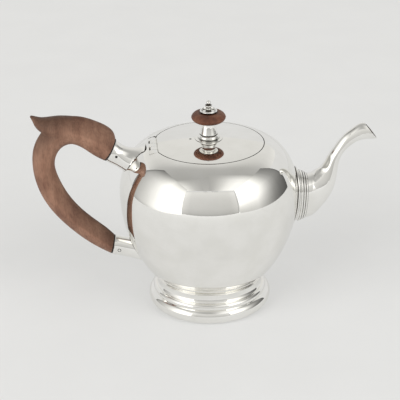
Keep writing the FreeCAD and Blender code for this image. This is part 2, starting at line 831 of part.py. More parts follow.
def make_handle():
    """One piece of wood: a C-shaped loop with a thumb spur, and a tenon for each socket."""
    upper_in = socket_inward("upper")
    lower_in = socket_inward("lower")
    upper_up = Vector(-upper_in.z, 0, upper_in.x)
    lower_up = Vector(-lower_in.z, 0, lower_in.x)
    top = socket_mouth("upper") + upper_up * value("handle_top_offset")
    end = socket_mouth("lower") + lower_up * value("handle_end_offset")
    sections = [(top, value("handle_top_depth"), value("handle_top_width"))]
    sections += [station("handle", name, -1) for name in HANDLE_STATIONS]
    sections.append((end, value("handle_end_depth"), value("handle_end_width")))
    loop = solid("handle_loop", lofted(sections, along_line(sections, upper_in * -1, lower_in)))
    spur_sections = [station("spur", name, -1) for name in SPUR_STATIONS]
    spur_start = spur_sections[1][0] - spur_sections[0][0]
    spur_end = spur_sections[-1][0] - spur_sections[-2][0]
    spur = solid("handle_spur", lofted(spur_sections, along_line(spur_sections, spur_start, spur_end)))
    tenons = []
    holes = []
    for side in ("upper", "lower"):
        tenons.append(rod(f"{side}_tenon", "tenon_radius", "tenon_length", **socket_place(side)))
        x, z = pin_place(side)
        hole_radius = "handle_pin_radius + handle_pin_clearance"
        holes.append(cross_rod(f"{side}_tenon_pin_hole", hole_radius, "4 * tenon_radius", x=x, z=z))
    carved = joined("handle_carved", [loop, spur] + tenons)
    return cut("handle", carved, grouped("tenon_pin_holes", holes))


# Spout and collar

def make_spout():
    """A hollow swan neck, one wall thick, open at its root and its mouth."""
    sections = [station("spout", name, 1) for name in SPOUT_STATIONS]
    directions = []
    for name in SPOUT_STATIONS:
        lean = math.radians(value(f"spout_{name}_lean"))
        directions.append(Vector(math.cos(lean), 0, math.sin(lean)))
    return solid("spout", lofted_tube(sections, directions, value("spout_wall")))


def make_collar(form):
    """Oval collar between body and spout: a thin flange that follows the body, then stepped reeds."""
    start = "body_radius / 2"
    first_reed = f"({COLLAR_X} - reed_count * reed_length)"
    along_spout = {"z": SPOUT_Z, "turn": "90"}
    outline_corners = [("0", start), ("reed_first_height", start), ("reed_first_height", first_reed)]
    for index in range(int(value("reed_count"))):
        step = f"{index} / (reed_count - 1)"
        height = f"(reed_first_height + (reed_last_height - reed_first_height) * {step})"
        near = f"({first_reed} + {index} * reed_length)"
        outline_corners.append((height, near, ("swell", "reed_swell")))
        outline_corners.append((height, f"({near} + reed_length)"))
    del outline_corners[2]
    outline_corners.append(("0", COLLAR_X))
    oval_ratio = "spout_root_width / spout_root_depth"
    reeds = turned("collar_reeds_round", outline_corners)
    reeds_oval = squashed("collar_reeds", reeds, oval_ratio, **along_spout)
    flange = rod("collar_flange_round", "flange_height", COLLAR_X)
    flange_oval = squashed("collar_flange_oval", flange, oval_ratio, **along_spout)
    grown = pot_form("pot_form_grown", "-flange_thickness")
    blank = joined("collar_blank", [reeds_oval, common("collar_flange", flange_oval, grown)])
    bore_height = "(spout_root_depth / 2 - spout_wall)"
    bore = rod("collar_bore_round", bore_height, f"2 * {COLLAR_X}")
    bore_ratio = f"(spout_root_width / 2 - spout_wall) / {bore_height}"
    bore_oval = squashed("collar_bore", bore, bore_ratio, **along_spout)
    return cut("spout_collar", cut("collar_bored", blank, bore_oval), form)


def make_pieces():
    form = pot_form("pot_form", "0")
    inner_form = pot_form("pot_inner_form", "body_wall")
    trough_space = make_trough_space()
    pieces = [make_body(trough_space), make_foot(form), make_lid_seat(inner_form, trough_space)]
    pieces.append(make_trough(form, trough_space))
    pieces += make_knuckles()
    pieces += [make_lid(), make_bezel(), make_finial_stem(), make_finial_disc()]
    pieces += [make_finial_plate(), make_finial_button()]
    pieces += make_finial_fixings()
    for end in ("upper", "lower"):
        pieces += [make_socket(end, form), make_handle_pin(end)]
    pieces += [make_handle(), make_spout(), make_collar(form)]
    return pieces


def write_pieces(pieces):
    doc.recompute()
    failed = [item.Label for item in doc.Objects if {"Invalid", "Error"} & set(item.State)]
    if failed:
        raise RuntimeError(f"these did not compute: {failed}")
    for piece in pieces:
        if piece.Shape.isNull() or not piece.Shape.isValid() or not piece.Shape.Solids:
            raise RuntimeError(f"{piece.Label} is not a sound solid")
    os.makedirs("parts", exist_ok=True)
    for piece in pieces:
        piece.Shape.exportStep(f"parts/{piece.Label}.step")
        box = piece.Shape.BoundBox
        size = f"{box.XLength:.1f} x {box.YLength:.1f} x {box.ZLength:.1f} mm"
        print(f"{piece.Label}: {len(piece.Shape.Solids)} solid, {piece.Shape.Volume:.0f} cubic mm, {size}")


write_pieces(make_pieces())
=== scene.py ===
# %% [markdown]
# # A silver teapot with a fruitwood handle
# The solids of the teapot arrive as a fixed frame, in metres, with the lid already hung on its hinge.
# Polished silver is a mirror, and a mirror shows every flat facet of a mesh. So the large silver forms
# are turned and swept again here with many fine faces, from the same sizes as the solids, and each new
# piece replaces its solid.

# %% Load the frame
import math

import bmesh
import bpy
import numpy
from mathutils import Matrix, Vector


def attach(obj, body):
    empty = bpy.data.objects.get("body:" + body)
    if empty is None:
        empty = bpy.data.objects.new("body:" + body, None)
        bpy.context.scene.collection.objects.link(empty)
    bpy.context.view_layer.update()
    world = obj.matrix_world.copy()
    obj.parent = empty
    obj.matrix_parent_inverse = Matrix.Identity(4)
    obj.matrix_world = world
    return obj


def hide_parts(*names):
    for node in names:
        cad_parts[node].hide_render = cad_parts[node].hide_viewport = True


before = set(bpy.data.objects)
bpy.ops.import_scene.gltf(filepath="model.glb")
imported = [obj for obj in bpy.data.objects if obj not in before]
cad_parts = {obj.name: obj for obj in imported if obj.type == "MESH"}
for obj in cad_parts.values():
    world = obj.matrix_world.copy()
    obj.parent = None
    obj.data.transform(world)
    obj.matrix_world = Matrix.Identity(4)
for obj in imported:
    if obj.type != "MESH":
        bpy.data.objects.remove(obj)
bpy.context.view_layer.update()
MM = 0.001

# %% [markdown]
# ## The camera
# The photograph was taken with a long lens from a little above, with the pot turned a few degrees on its
# axis. A camera is a place, a direction and a focal length, so it is set from those: it looks at a point
# on the pot from a known distance and height, and leans by a fraction of a degree as the photographer's
# did.

# %% Camera
POT_TURN = math.radians(-4.0)
CAMERA_RISE = math.radians(25.04)
CAMERA_DISTANCE = 843.1 * MM
CAMERA_AIM = Vector((-6.0, 0.42, 72.9)) * MM
CAMERA_LEAN = math.radians(-0.545)
SENSOR_MM = 36.0
LENS_MM = 114.3

back = Vector((
    math.sin(POT_TURN) * math.cos(CAMERA_RISE),
    -math.cos(POT_TURN) * math.cos(CAMERA_RISE),
    math.sin(CAMERA_RISE),
))
turn_to_view = (-back).to_track_quat("-Z", "Y").to_matrix().to_4x4()
camera = bpy.data.objects.new("camera", bpy.data.cameras.new("camera"))
camera.data.sensor_width = SENSOR_MM
camera.data.lens = LENS_MM
camera.data.clip_start = 0.01
place = Matrix.Translation(CAMERA_AIM + back * CAMERA_DISTANCE)
camera.matrix_world = place @ turn_to_view @ Matrix.Rotation(CAMERA_LEAN, 4, "Z")
bpy.context.scene.collection.objects.link(camera)
bpy.context.scene.camera = camera
print("camera at", [round(x / MM) for x in camera.matrix_world.translation], "mm")

# %% [markdown]
# ## Colours and nodes
# Colours are written as the hex values a designer would pick, and turned to the linear values that light
# adds up in. One small function adds a shader node, sets its values and links its inputs. The others
# stand for the nodes that every material repeats.

# %% Helpers for materials
def linear(hex_colour):
    """sRGB hex to linear red, green, blue and an alpha of one."""
    channels = [int(hex_colour[i:i + 2], 16) / 255 for i in (1, 3, 5)]
    return [c / 12.92 if c <= 0.04045 else ((c + 0.055) / 1.055) ** 2.4 for c in channels] + [1.0]


def add_node(tree, kind, values=None, links=None, **settings):
    """Adds a node, with values for its inputs, links into its inputs, and its own settings."""
    node = tree.nodes.new(kind)
    for name, setting in settings.items():
        setattr(node, name, setting)
    for name, number in (values or {}).items():
        node.inputs[name].default_value = number
    for name, source in (links or {}).items():
        tree.links.new(source, node.inputs[name])
    return node


def new_material(name):
    """An empty node material, and its tree."""
    material = bpy.data.materials.new(name)
    material.use_nodes = True
    material.node_tree.nodes.clear()
    return material, material.node_tree


def cover(tree, shader):
    """Makes a shader the material's surface."""
    add_node(tree, "ShaderNodeOutputMaterial", links={"Surface": shader.outputs[0]})


def object_place(tree):
    return add_node(tree, "ShaderNodeTexCoord").outputs["Object"]


def noise(tree, where, size_mm, detail, **more):
    """A noise whose features are this many millimetres wide."""
    values = {"Scale": 1 / (size_mm * MM), "Detail": detail, **more}
    return add_node(tree, "ShaderNodeTexNoise", values, {"Vector": where}).outputs["Fac"]


def ramp(tree, amount, stops):
    """Colours along an amount, from (position, hex colour) stops."""
    node = add_node(tree, "ShaderNodeValToRGB", links={"Fac": amount})
    elements = node.color_ramp.elements
    while len(elements) < len(stops):
        elements.new(1.0)
    for element, (position, colour) in zip(elements, stops):
        element.position = position
        element.color = linear(colour)
    return node.outputs["Color"]


def remap(tree, amount, to, start=(0.0, 1.0), curve="LINEAR"):
    """An amount carried over from a start range to another range."""
    values = {"From Min": start[0], "From Max": start[1], "To Min": to[0], "To Max": to[1]}
    node = add_node(tree, "ShaderNodeMapRange", values, {"Value": amount}, interpolation_type=curve)
    return node.outputs["Result"]


def openness(tree, distance_mm):
    """One on open surfaces, and less where others stand within a distance."""
    node = add_node(tree, "ShaderNodeAmbientOcclusion", {"Distance": distance_mm * MM}, samples=8)
    return node.outputs["AO"]


# %% [markdown]
# ## Sterling silver, hand polished
# Silver is the whitest of metals, a touch warm. Raised by hammer, planished and polished, it is a clear
# mirror whose surface still swells very slightly between the old hammer marks, and years of cleaning
# leave a fine haze. The swell is a broad bump, and the haze is a small change of roughness. Real
# scratches are finer than a pixel, so the haze is drawn coarser than they are. Polish dries black in the
# creases that the cloth can't reach, and the colour is painted darker where near surfaces shade each
# other, so these dark lines are partly residue and partly painted shade. The foot's wide hollows are
# easily wiped, so none is drawn there. The seams are darkened all over, as tarnish and painted shade,
# and tea stains the inside.

# %% Polished silver
SWELL_MM = 24.0
SWELL_DEPTH_MM = 0.006
HAZE_MM = 7.0
HAZE_ROUGHNESS = (0.015, 0.06)
TARNISH_MM = 15.0
CREASE_MM = 1.4
CREASE_SHADE = (0.38, 0.85)
FOOT_TOP_MM = 27.0


def polished_silver(name, residue_and_shade_colour):
    material, tree = new_material(name)
    where = object_place(tree)
    bump = add_node(tree, "ShaderNodeBump", {"Strength": 1.0, "Distance": SWELL_DEPTH_MM * MM},
                    {"Height": noise(tree, where, SWELL_MM, 1.0)})
    rough = remap(tree, noise(tree, where, HAZE_MM, 6.0), HAZE_ROUGHNESS)
    clean = ramp(tree, noise(tree, where, TARNISH_MM, 4.0), [(0.35, "#F5F4F0"), (0.65, "#FBFAF7")])
    # Painted shade, partly residue: the colour turns to the crease colour where near surfaces shade each
    # other.
    residue_and_shade = remap(tree, openness(tree, CREASE_MM), (0.0, 1.0), CREASE_SHADE)
    height = add_node(tree, "ShaderNodeSeparateXYZ", links={0: where}).outputs["Z"]
    on_foot = add_node(tree, "ShaderNodeMath", {1: FOOT_TOP_MM * MM}, {0: height}, operation="LESS_THAN")
    wiped = add_node(tree, "ShaderNodeMath", links={0: residue_and_shade, 1: on_foot.outputs["Value"]},
                     operation="MAXIMUM")
    colour = add_node(tree, "ShaderNodeMix", {"A": linear(residue_and_shade_colour)},
                      {"Factor": wiped.outputs["Value"], "B": clean}, data_type="RGBA")
    cover(tree, add_node(tree, "ShaderNodeBsdfPrincipled", {"Metallic": 1.0}, {
        "Base Color": colour.outputs["Result"], "Roughness": rough, "Normal": bump.outputs["Normal"],
    }))
    return material


def dull_coat(name, dark, light, roughness, metallic=1.0):
    """Dull soft patches: sulphide or stain on the metal, a dry coat, and painted shade and light."""
    material, tree = new_material(name)
    patch = noise(tree, object_place(tree), HAZE_MM, 4.0)
    cover(tree, add_node(tree, "ShaderNodeBsdfPrincipled", {"Metallic": metallic}, {
        "Base Color": ramp(tree, patch, [(0.35, dark), (0.65, light)]),
        "Roughness": remap(tree, patch, roughness),
    }))
    return material


silver = polished_silver("sterling_silver_polished", "#2E2924")
rubbed_silver = polished_silver("sterling_silver_rubbed_flush", "#A8A59E")
# Painted shade as well as tarnish: this dark finish goes on seams, grooves, rims and ends where shade falls.
tarnish_and_shade = dull_coat("sterling_silver_tarnish_and_painted_shade", "#3A352F", "#5A534A", (0.4, 0.55))
tea_stained = dull_coat("sterling_silver_tea_stained", "#2E2118", "#54402F", (0.35, 0.6))
pin_steel = dull_coat("pin_steel_blackened", "#191715", "#2B2825", (0.3, 0.45))
# Painted light as well as dried paste: a pale matt finish on the knuckles' end walls, which sit in shade.
pale_paste_fill_light = dull_coat("polish_paste_painted_fill_light", "#BDBAB2", "#D6D3CB", (0.7, 0.9), metallic=0.0)
# Painted shade: a black slip set in the open joints between the wood and its sockets.
joint_shade_black = dull_coat("joint_shade_black", "#14100D", "#241C17", (0.5, 0.7), metallic=0.0)
print("materials:", ", ".join(material.name for material in bpy.data.materials))

# %% [markdown]
# ## Fruitwood, carved and waxed
# The handle and the finial's disc are pear or another close fruitwood, carved, stained red-brown and worn
# by hands. The eye sees soft clouds and streaks along the grain, fine pores as short dark dashes, and a
# dry wax sheen. Each pattern is a noise, the streaks and pores stretched along the grain, with its width
# in millimetres across it. Where the wood faces up, its colour is painted darker as shade from above, so
# the upward part of the surface's direction shades the colour. Its creases are darkened as dirt and as
# painted shade, and the thumb has darkened the top of the handle.

# %% Waxed fruitwood
STREAK_MM = 4.2
PORE_MM = 0.7
PORE_DEPTH_MM = 0.12
CLOUD_MM = 16.0
CLOUD_SHARE = 0.55
STREAK_STRETCH = 0.12
PORE_STRETCH = 0.2
STAIN_STOPS = (0.36, 0.5, 0.64)
THUMB_MM = (8.0, 30.0)
WOOD_CREASE_MM = 2.0
WAX_ROUGHNESS = (0.6, 0.45)
PORE_RANGE = (0.36, 0.52)
PORE_SHADE = (0.8, 1.0)
UPWARD_RANGE = (-0.3, 0.75)
WOOD_DIRT_AND_SHADE_RANGE = (0.45, 0.9)
WOOD_DIRT_AND_SHADE_LEVELS = (0.5, 1.0)
THUMB_SHADE = (0.62, 1.0)


def along_grain(tree, where, grain_lean, stretch):
    """The place on the wood, drawn out along the grain."""
    turn = (0.0, math.radians(grain_lean), 0.0)
    values = {"Rotation": turn, "Scale": (1.0, 1.0, stretch)}
    return add_node(tree, "ShaderNodeMapping", values, {"Vector": where}).outputs["Vector"]


def waxed_fruitwood(name, grain_lean, stains, top_shade, thumb_mm=None):
    """Wood whose grain leans from upright, in the plane of symmetry, by an angle in degrees."""
    material, tree = new_material(name)
    where = object_place(tree)
    streak_place = along_grain(tree, where, grain_lean, STREAK_STRETCH)
    streak = noise(tree, streak_place, STREAK_MM, 4.0, Roughness=0.55, Distortion=0.5)
    pore = noise(tree, along_grain(tree, where, grain_lean, PORE_STRETCH), PORE_MM, 2.0)
    mixed = add_node(tree, "ShaderNodeMix", {"Factor": CLOUD_SHARE},
                     {"A": streak, "B": noise(tree, where, CLOUD_MM, 3.0)})
    facing = add_node(tree, "ShaderNodeNewGeometry").outputs["Normal"]
    upward = add_node(tree, "ShaderNodeSeparateXYZ", links={0: facing}).outputs["Z"]
    shades = [
        remap(tree, pore, PORE_SHADE, PORE_RANGE),
        # Painted shade: darker where the wood faces up.
        remap(tree, upward, (1.0, top_shade), UPWARD_RANGE, "SMOOTHSTEP"),
        # Dirt and painted shade: darker in the wood's creases.
        remap(tree, openness(tree, WOOD_CREASE_MM), WOOD_DIRT_AND_SHADE_LEVELS, WOOD_DIRT_AND_SHADE_RANGE),
    ]
    if thumb_mm:
        away = add_node(tree, "ShaderNodeVectorMath", {1: Vector(thumb_mm) * MM}, {0: where},
                        operation="DISTANCE")
        reach = [distance * MM for distance in THUMB_MM]
        shades.append(remap(tree, away.outputs["Value"], THUMB_SHADE, reach, "SMOOTHSTEP"))
    colour = ramp(tree, mixed.outputs["Result"], list(zip(STAIN_STOPS, stains)))
    for shade in shades:
        darker = add_node(tree, "ShaderNodeVectorMath", links={0: colour, 1: shade}, operation="MULTIPLY")
        colour = darker.outputs["Vector"]
    bump = add_node(tree, "ShaderNodeBump", {"Strength": 0.6, "Distance": PORE_DEPTH_MM * MM},
                    {"Height": pore})
    cover(tree, add_node(tree, "ShaderNodeBsdfPrincipled", {"IOR": 1.5, "Specular IOR Level": 0.35}, {
        "Base Color": colour,
        "Roughness": remap(tree, streak, WAX_ROUGHNESS),
        "Normal": bump.outputs["Normal"],
    }))
    return material


handle_wood = waxed_fruitwood("fruitwood_carved_waxed", -28.0, ("#6F4D3D", "#86624F", "#99745F"), 0.58,
                              thumb_mm=(-110, 0, 135))
disc_wood = waxed_fruitwood("fruitwood_turned_waxed", 90.0, ("#4C2F23", "#6A4130", "#825842"), 0.75)
print("materials:", handle_wood.name, disc_wood.name)

# %% [markdown]
# ## The studio
# Silver has hardly a colour of its own: it looks the way the room around it looks. This pot stood on a
# pale sweep, with a large soft light on either side, a grey panel between them and a darker ceiling. The
# floor is a plain pale sheet. The soft lights and panels are cards that only reflections see, so the
# camera sees nothing but pale grey from any side, and the floor keeps the pot's shadow.

# %% Floor and world
PALE = "#DFDFDE"
FLOOR_REACH = 4.0
MOTTLE_MM = 60.0
PAPER_GLOW = (0.36, 0.42)


def add_quad(name, corners):
    """A flat four-cornered object."""
    mesh = bpy.data.meshes.new(name)
    mesh.from_pydata(corners, [], [(0, 1, 2, 3)])
    thing = bpy.data.objects.new(name, mesh)
    bpy.context.scene.collection.objects.link(thing)
    return thing


def pale_paper():
    """Matt paper lit from below as well, so that the shadow on it stays faint."""
    material, tree = new_material("paper_sweep_matt")
    mottle = noise(tree, object_place(tree), MOTTLE_MM, 5.0)
    seen = add_node(tree, "ShaderNodeLightPath").outputs["Is Camera Ray"]
    values = {"Roughness": 0.9, "Specular IOR Level": 0.1, "Emission Color": linear(PALE)}
    cover(tree, add_node(tree, "ShaderNodeBsdfPrincipled", values, {
        "Base Color": ramp(tree, mottle, [(0.3, "#B3B3B2"), (0.7, "#B6B6B5")]),
        "Emission Strength": remap(tree, seen, PAPER_GLOW),
    }))
    return material


floor_signs = ((-1, -1), (1, -1), (1, 1), (-1, 1))
floor = add_quad("floor", [(x * FLOOR_REACH, y * FLOOR_REACH, 0) for x, y in floor_signs])
floor.data.materials.append(pale_paper())

world = bpy.data.worlds.new("pale_room")
bpy.context.scene.world = world
world.use_nodes = True
world.node_tree.nodes["Background"].inputs["Color"].default_value = linear(PALE)
bpy.context.scene.view_settings.view_transform = "Standard"
print("floor", 2 * FLOOR_REACH, "m across, world", PALE)

# %% Soft lights and panels seen in the silver
# Each card is flat, given by two opposite corners in metres. Its brightness changes along its length and
# its height: a row of (share of the way, brightness) stops for each. The two are multiplied, and added to
# the card's base. The ceiling also shades the wood from above.
CARD_WHITE = "#FFFEFA"
CURVE_TOP = 2.0
EVEN = [(0.0, 1.0), (1.0, 1.0)]
CLIP_DARK = [(0.0, 0.22), (1.0, 0.22)]
CARDS = {
    "soft_light_left": {
        "corners": ((-0.59, -0.90, 0.0), (-0.59, 0.24, 0.95)),
        "along": [(0.0, 1.5), (0.5, 1.4), (0.62, 1.02), (0.72, 0.78), (0.82, 0.6), (0.95, 0.44), (1.0, 0.2)],
        "up": [(0.0, 0.8), (0.04, 0.98), (0.5, 1.0), (0.68, 0.85), (0.86, 0.62), (1.0, 0.45)],
    },
    "soft_light_right": {
        "corners": ((0.84, -1.12, 0.0), (0.84, 0.39, 1.1)),
        "along": [(0.0, 1.5), (0.45, 1.5), (0.57, 1.05), (0.66, 0.72),
                  (0.74, 0.48), (0.84, 0.32), (0.98, 0.22), (1.0, 0.05)],
        "up": [(0.0, 0.42), (0.1, 0.5), (0.2, 0.62), (0.32, 0.85), (0.45, 1.0), (1.0, 1.0)],
    },
    "panel_front": {
        "corners": ((-0.76, -1.14, 0.02), (0.82, -1.14, 0.98)),
        "along": [(0.0, 0.3), (0.012, 1.25), (0.16, 1.02), (0.5, 1.0),
                  (0.84, 1.0), (0.985, 1.15), (1.0, 0.3)],
        "up": [(0.0, 0.38), (0.03, 0.46), (0.08, 0.52), (0.25, 0.6), (0.6, 0.66), (0.9, 0.76), (1.0, 0.72)],
    },
    "ceiling": {
        "corners": ((-1.2, -1.14, 1.06), (1.3, 2.4, 1.06)),
        "along": [(0.0, 1.1), (0.2, 1.0), (0.8, 1.0), (1.0, 1.1)],
        "up": [(0.0, 0.5), (0.13, 0.46), (0.26, 0.42), (0.34, 0.44), (0.4, 0.46), (0.44, 0.51), (0.48, 0.59),
               (0.53, 0.66), (0.62, 0.72), (0.75, 0.74), (1.0, 0.76)],
    },
    "soft_light_right_top": {
        "corners": ((0.0, -1.12, 1.05), (0.88, -0.02, 1.05)),
        "along": [(0.0, 0.0), (0.12, 0.08), (0.28, 0.26), (0.46, 0.5), (0.7, 0.66), (1.0, 0.66)],
        "up": [(0.0, 1.0), (0.55, 1.0), (0.75, 0.85), (0.9, 0.4), (1.0, 0.0)],
        "base": 0.44,
    },
    "soft_light_left_top": {
        "corners": ((-0.78, -1.12, 1.05), (-0.16, -0.3, 1.05)),
        "along": [(0.0, 0.6), (0.25, 0.42), (0.65, 0.12), (1.0, 0.0)],
        "up": [(0.0, 1.0), (0.5, 1.0), (0.8, 0.6), (1.0, 0.0)],
        "base": 0.45,
    },
    "panel_clip_left": {
        "corners": ((-0.17, -1.13, 0.975), (-0.06, -1.13, 1.0)),
        "along": EVEN,
        "up": CLIP_DARK,
    },
    "panel_clip_right": {
        "corners": ((0.07, -1.13, 0.97), (0.25, -1.13, 0.995)),
        "along": EVEN,
        "up": CLIP_DARK,
    },
}
DIFFUSE_CARDS = ("ceiling",)


def brightness_curve(tree, amount, stops):
    """A curve through stops, drawn as shares of its top brightness."""
    curve = add_node(tree, "ShaderNodeFloatCurve", links={"Value": amount})
    points = curve.mapping.curves[0].points
    while len(points) < len(stops):
        points.new(0.5, 0.5)
    for point, (share, brightness) in zip(points, stops):
        point.location = (share, brightness / CURVE_TOP)
        point.handle_type = "VECTOR"
    curve.mapping.update()
    return curve.outputs["Value"]


def card_material(name, along, up, base):
    material, tree = new_material(name)
    place_uv = add_node(tree, "ShaderNodeUVMap").outputs["UV"]
    split = add_node(tree, "ShaderNodeSeparateXYZ", links={0: place_uv})
    curves = {
        0: brightness_curve(tree, split.outputs["X"], along),
        1: brightness_curve(tree, split.outputs["Y"], up),
    }
    product = add_node(tree, "ShaderNodeMath", links=curves, operation="MULTIPLY").outputs["Value"]
    strength = add_node(tree, "ShaderNodeMath", {1: CURVE_TOP ** 2, 2: base}, {0: product},
                        operation="MULTIPLY_ADD")
    cover(tree, add_node(tree, "ShaderNodeEmission", {"Color": linear(CARD_WHITE)},
                         {"Strength": strength.outputs["Value"]}))
    return material


def add_card(name, corners, along, up, base=0.0):
    """A flat card with its U along its length and its V up, or from front to back if it lies flat."""
    low, high = corners
    if low[2] == high[2]:
        points = [low, (high[0], low[1], low[2]), high, (low[0], high[1], low[2])]
    else:
        points = [low, (high[0], high[1], low[2]), high, (low[0], low[1], high[2])]
    turn = Matrix.Rotation(POT_TURN, 4, "Z")
    card = add_quad(name, [turn @ Vector(point) for point in points])
    layer = card.data.uv_layers.new(name="UVMap")
    for corner, corner_uv in zip(layer.data, ((0, 0), (1, 0), (1, 1), (0, 1))):
        corner.uv = corner_uv
    card.data.materials.append(card_material(name, along, up, base))
    card.visible_camera = False
    card.visible_diffuse = name in DIFFUSE_CARDS
    card.visible_shadow = False


for card_name, card_facts in CARDS.items():
    add_card(card_name, **card_facts)
print("cards:", ", ".join(CARDS))

# %% Lamps
# Two broad lamps, where the soft lights stand, model the wood and give the floor its faint shadow. The
# cards already show these lights to the silver, so the lamps themselves stay out of reflections.
LAMP_AIM = Vector((0, 0, 0.07))
LAMPS = {
    "lamp_left": ((-2.1, -1.9, 1.25), 2.2, 62.0),
    "lamp_right": ((2.4, -1.8, 1.4), 2.4, 62.0),
}


def add_lamp(name, where, size, watts):
    lamp = bpy.data.objects.new(name, bpy.data.lights.new(name, "AREA"))
    lamp.data.size = size
    lamp.data.energy = watts
    lamp.location = Matrix.Rotation(POT_TURN, 3, "Z") @ Vector(where)
    aim = LAMP_AIM - lamp.location
    lamp.rotation_mode = "QUATERNION"
    lamp.rotation_quaternion = aim.to_track_quat("-Z", "Y")
    lamp.visible_camera = False
    lamp.visible_glossy = False
    bpy.context.scene.collection.objects.link(lamp)


for lamp_name, lamp_facts in LAMPS.items():
    add_lamp(lamp_name, *lamp_facts)
print("lamps:", ", ".join(LAMPS))

# %% [markdown]
# ## Turning
# Most of the pot is made on a lathe or raised over stakes to a turned form: an outline spun about an
# axis. An outline is a list of corners as (radius, height) in millimetres. Where the side to the next
# corner bends, the corner adds how far that side swells out, or dips in if the number is negative. Sharp
# corners are eased by a fraction of a millimetre, as polishing does, because a bright thin line along an
# edge is what makes metal look real.

# %% Helpers for turned pieces
TURN_STEPS = 160
ARC_STEP_MM = 0.5
EDGE_EASE_MM = 0.12
EASE_SHARE = 0.3
TINY = 1e-6
SHARP_EDGE = math.radians(32)


def bent_side(start, end, sagitta):
    """Points from start up to, not including, end, on an arc that stands out to the right by the sagitta."""
    start, end = Vector(start), Vector(end)
    chord = end - start
    count = max(4, int(chord.length / ARC_STEP_MM))
    outward = Vector((chord.y, -chord.x)).normalized()
    radius = (chord.length_squared / 4 + sagitta ** 2) / (2 * sagitta)
    half_angle = math.asin(max(-1.0, min(1.0, chord.length / (2 * radius))))
    points = []
    for index in range(count):
        angle = half_angle * (2 * index / count - 1)
        depth = radius * (math.cos(angle) - math.cos(half_angle))
        along = 0.5 + radius * math.sin(angle) / chord.length
        points.append(tuple(start + chord * along + outward * depth))
    return points


def outline(corners):
    """A closed outline from corners, drawn anticlockwise."""
    points = []
    for corner, following in zip(corners, corners[1:] + corners[:1]):
        if len(corner) == 3:
            points += bent_side(corner[:2], following[:2], corner[2])
        else:
            points.append(tuple(corner))
    return points


def eased(points, ease=EDGE_EASE_MM):
    """The outline with each sharp corner off the axis cut back twice, like a polished edge."""
    result = []
    for before, here, after in zip(points[-1:] + points[:-1], points, points[1:] + points[:1]):
        here_point = Vector(here)
        to_before = Vector(before) - here_point
        to_after = Vector(after) - here_point
        reach_mm = min(ease, to_before.length * EASE_SHARE, to_after.length * EASE_SHARE)
        doubled = to_before.length < TINY or to_after.length < TINY
        if doubled or here[0] < TINY or math.pi - to_before.angle(to_after) < SHARP_EDGE:
            result.append(here)
            continue
        first = here_point + to_before.normalized() * reach_mm
        last = here_point + to_after.normalized() * reach_mm
        middle = here_point * 0.5 + (first + last) * 0.25
        result += [tuple(first), tuple(middle), tuple(last)]
    return result


def around(steps):
    """Angles of even steps around a circle."""
    return [2 * math.pi * index / steps for index in range(steps)]


def turned_mesh(points, steps=TURN_STEPS):
    """A closed outline of (radius, height) points spun about Z."""
    mesh = bmesh.new()
    rings = []
    for radius, height in points:
        if radius < TINY:
            rings.append([mesh.verts.new((0, 0, height * MM))])
        else:
            rings.append([mesh.verts.new((radius * MM * math.cos(a), radius * MM * math.sin(a), height * MM))
                          for a in around(steps)])
    for low, high in zip(rings, rings[1:] + rings[:1]):
        for index in range(steps):
            following = (index + 1) % steps
            corners = (low[index % len(low)], low[following % len(low)],
                       high[following % len(high)], high[index % len(high)])
            face = list(dict.fromkeys(corners))
            if len(face) > 2:
                mesh.faces.new(face)
    bmesh.ops.recalc_face_normals(mesh, faces=mesh.faces)
    return mesh


def stand_along(mesh, centre, axis):
    """Turns a mesh's Z to an axis, and moves it to a centre in millimetres."""
    turn = Vector((0, 0, 1)).rotation_difference(Vector(axis)).to_matrix().to_4x4()
    bmesh.ops.transform(mesh, matrix=Matrix.Translation(Vector(centre) * MM) @ turn, verts=mesh.verts)


def to_object(mesh, name):
    """A linked object from an edit mesh."""
    data = bpy.data.meshes.new(name)
    mesh.to_mesh(data)
    mesh.free()
    thing = bpy.data.objects.new(name, data)
    bpy.context.scene.collection.objects.link(thing)
    return thing


def skinned(mesh, name):
    """An object from an edit mesh, with its faces all turned outwards."""
    bmesh.ops.recalc_face_normals(mesh, faces=mesh.faces)
    return to_object(mesh, name)


def apply_modifiers(piece):
    graph = bpy.context.evaluated_depsgraph_get()
    piece.data = bpy.data.meshes.new_from_object(piece.evaluated_get(graph))
    piece.modifiers.clear()


def carve(piece, tool, operation="DIFFERENCE"):
    """Cuts a tool object out of a piece, and removes the tool."""
    step = piece.modifiers.new("carve", "BOOLEAN")
    step.object = tool
    step.operation = operation
    step.solver = "EXACT"
    apply_modifiers(piece)
    bpy.data.objects.remove(tool)


def bridge(mesh, rings):
    """Faces between rings of equal count, one after the other."""
    for low, high in zip(rings, rings[1:]):
        for index in range(len(low)):
            following = (index + 1) % len(low)
            mesh.faces.new((low[index], low[following], high[following], high[index]))


def close_ends(mesh, rings):
    """Faces between rings, and over the first and the last."""
    bridge(mesh, rings)
    mesh.faces.new(rings[0])
    mesh.faces.new(rings[-1][::-1])


def smooth(piece):
    """Smooth shading, with edges kept sharp where faces meet at an angle."""
    mesh = bmesh.new()
    mesh.from_mesh(piece.data)
    for face in mesh.faces:
        face.smooth = True
    for edge in mesh.edges:
        edge.smooth = len(edge.link_faces) == 2 and edge.calc_face_angle(0.0) < SHARP_EDGE
    mesh.to_mesh(piece.data)
    mesh.free()
    return piece


def stand_for(piece, node, body, material):
    """Finishes a piece that shows in place of a solid."""
    smooth(piece)
    piece.data.materials.clear()
    piece.data.materials.append(material)
    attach(piece, body)
    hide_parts(node)
    print(f"{piece.name}: {len(piece.data.polygons)} faces, for {node}")


# %% [markdown]
# ## The body
# The body is one sheet of silver raised into a ball that is fuller above than below. Four arcs in a row,
# each tangent to the next, give the outside, and the same arcs set in by the sheet's thickness give the
# inside. The hinge's trough is let into the mouth's edge on the handle's side, and small holes behind the
# spout hold back the leaves.

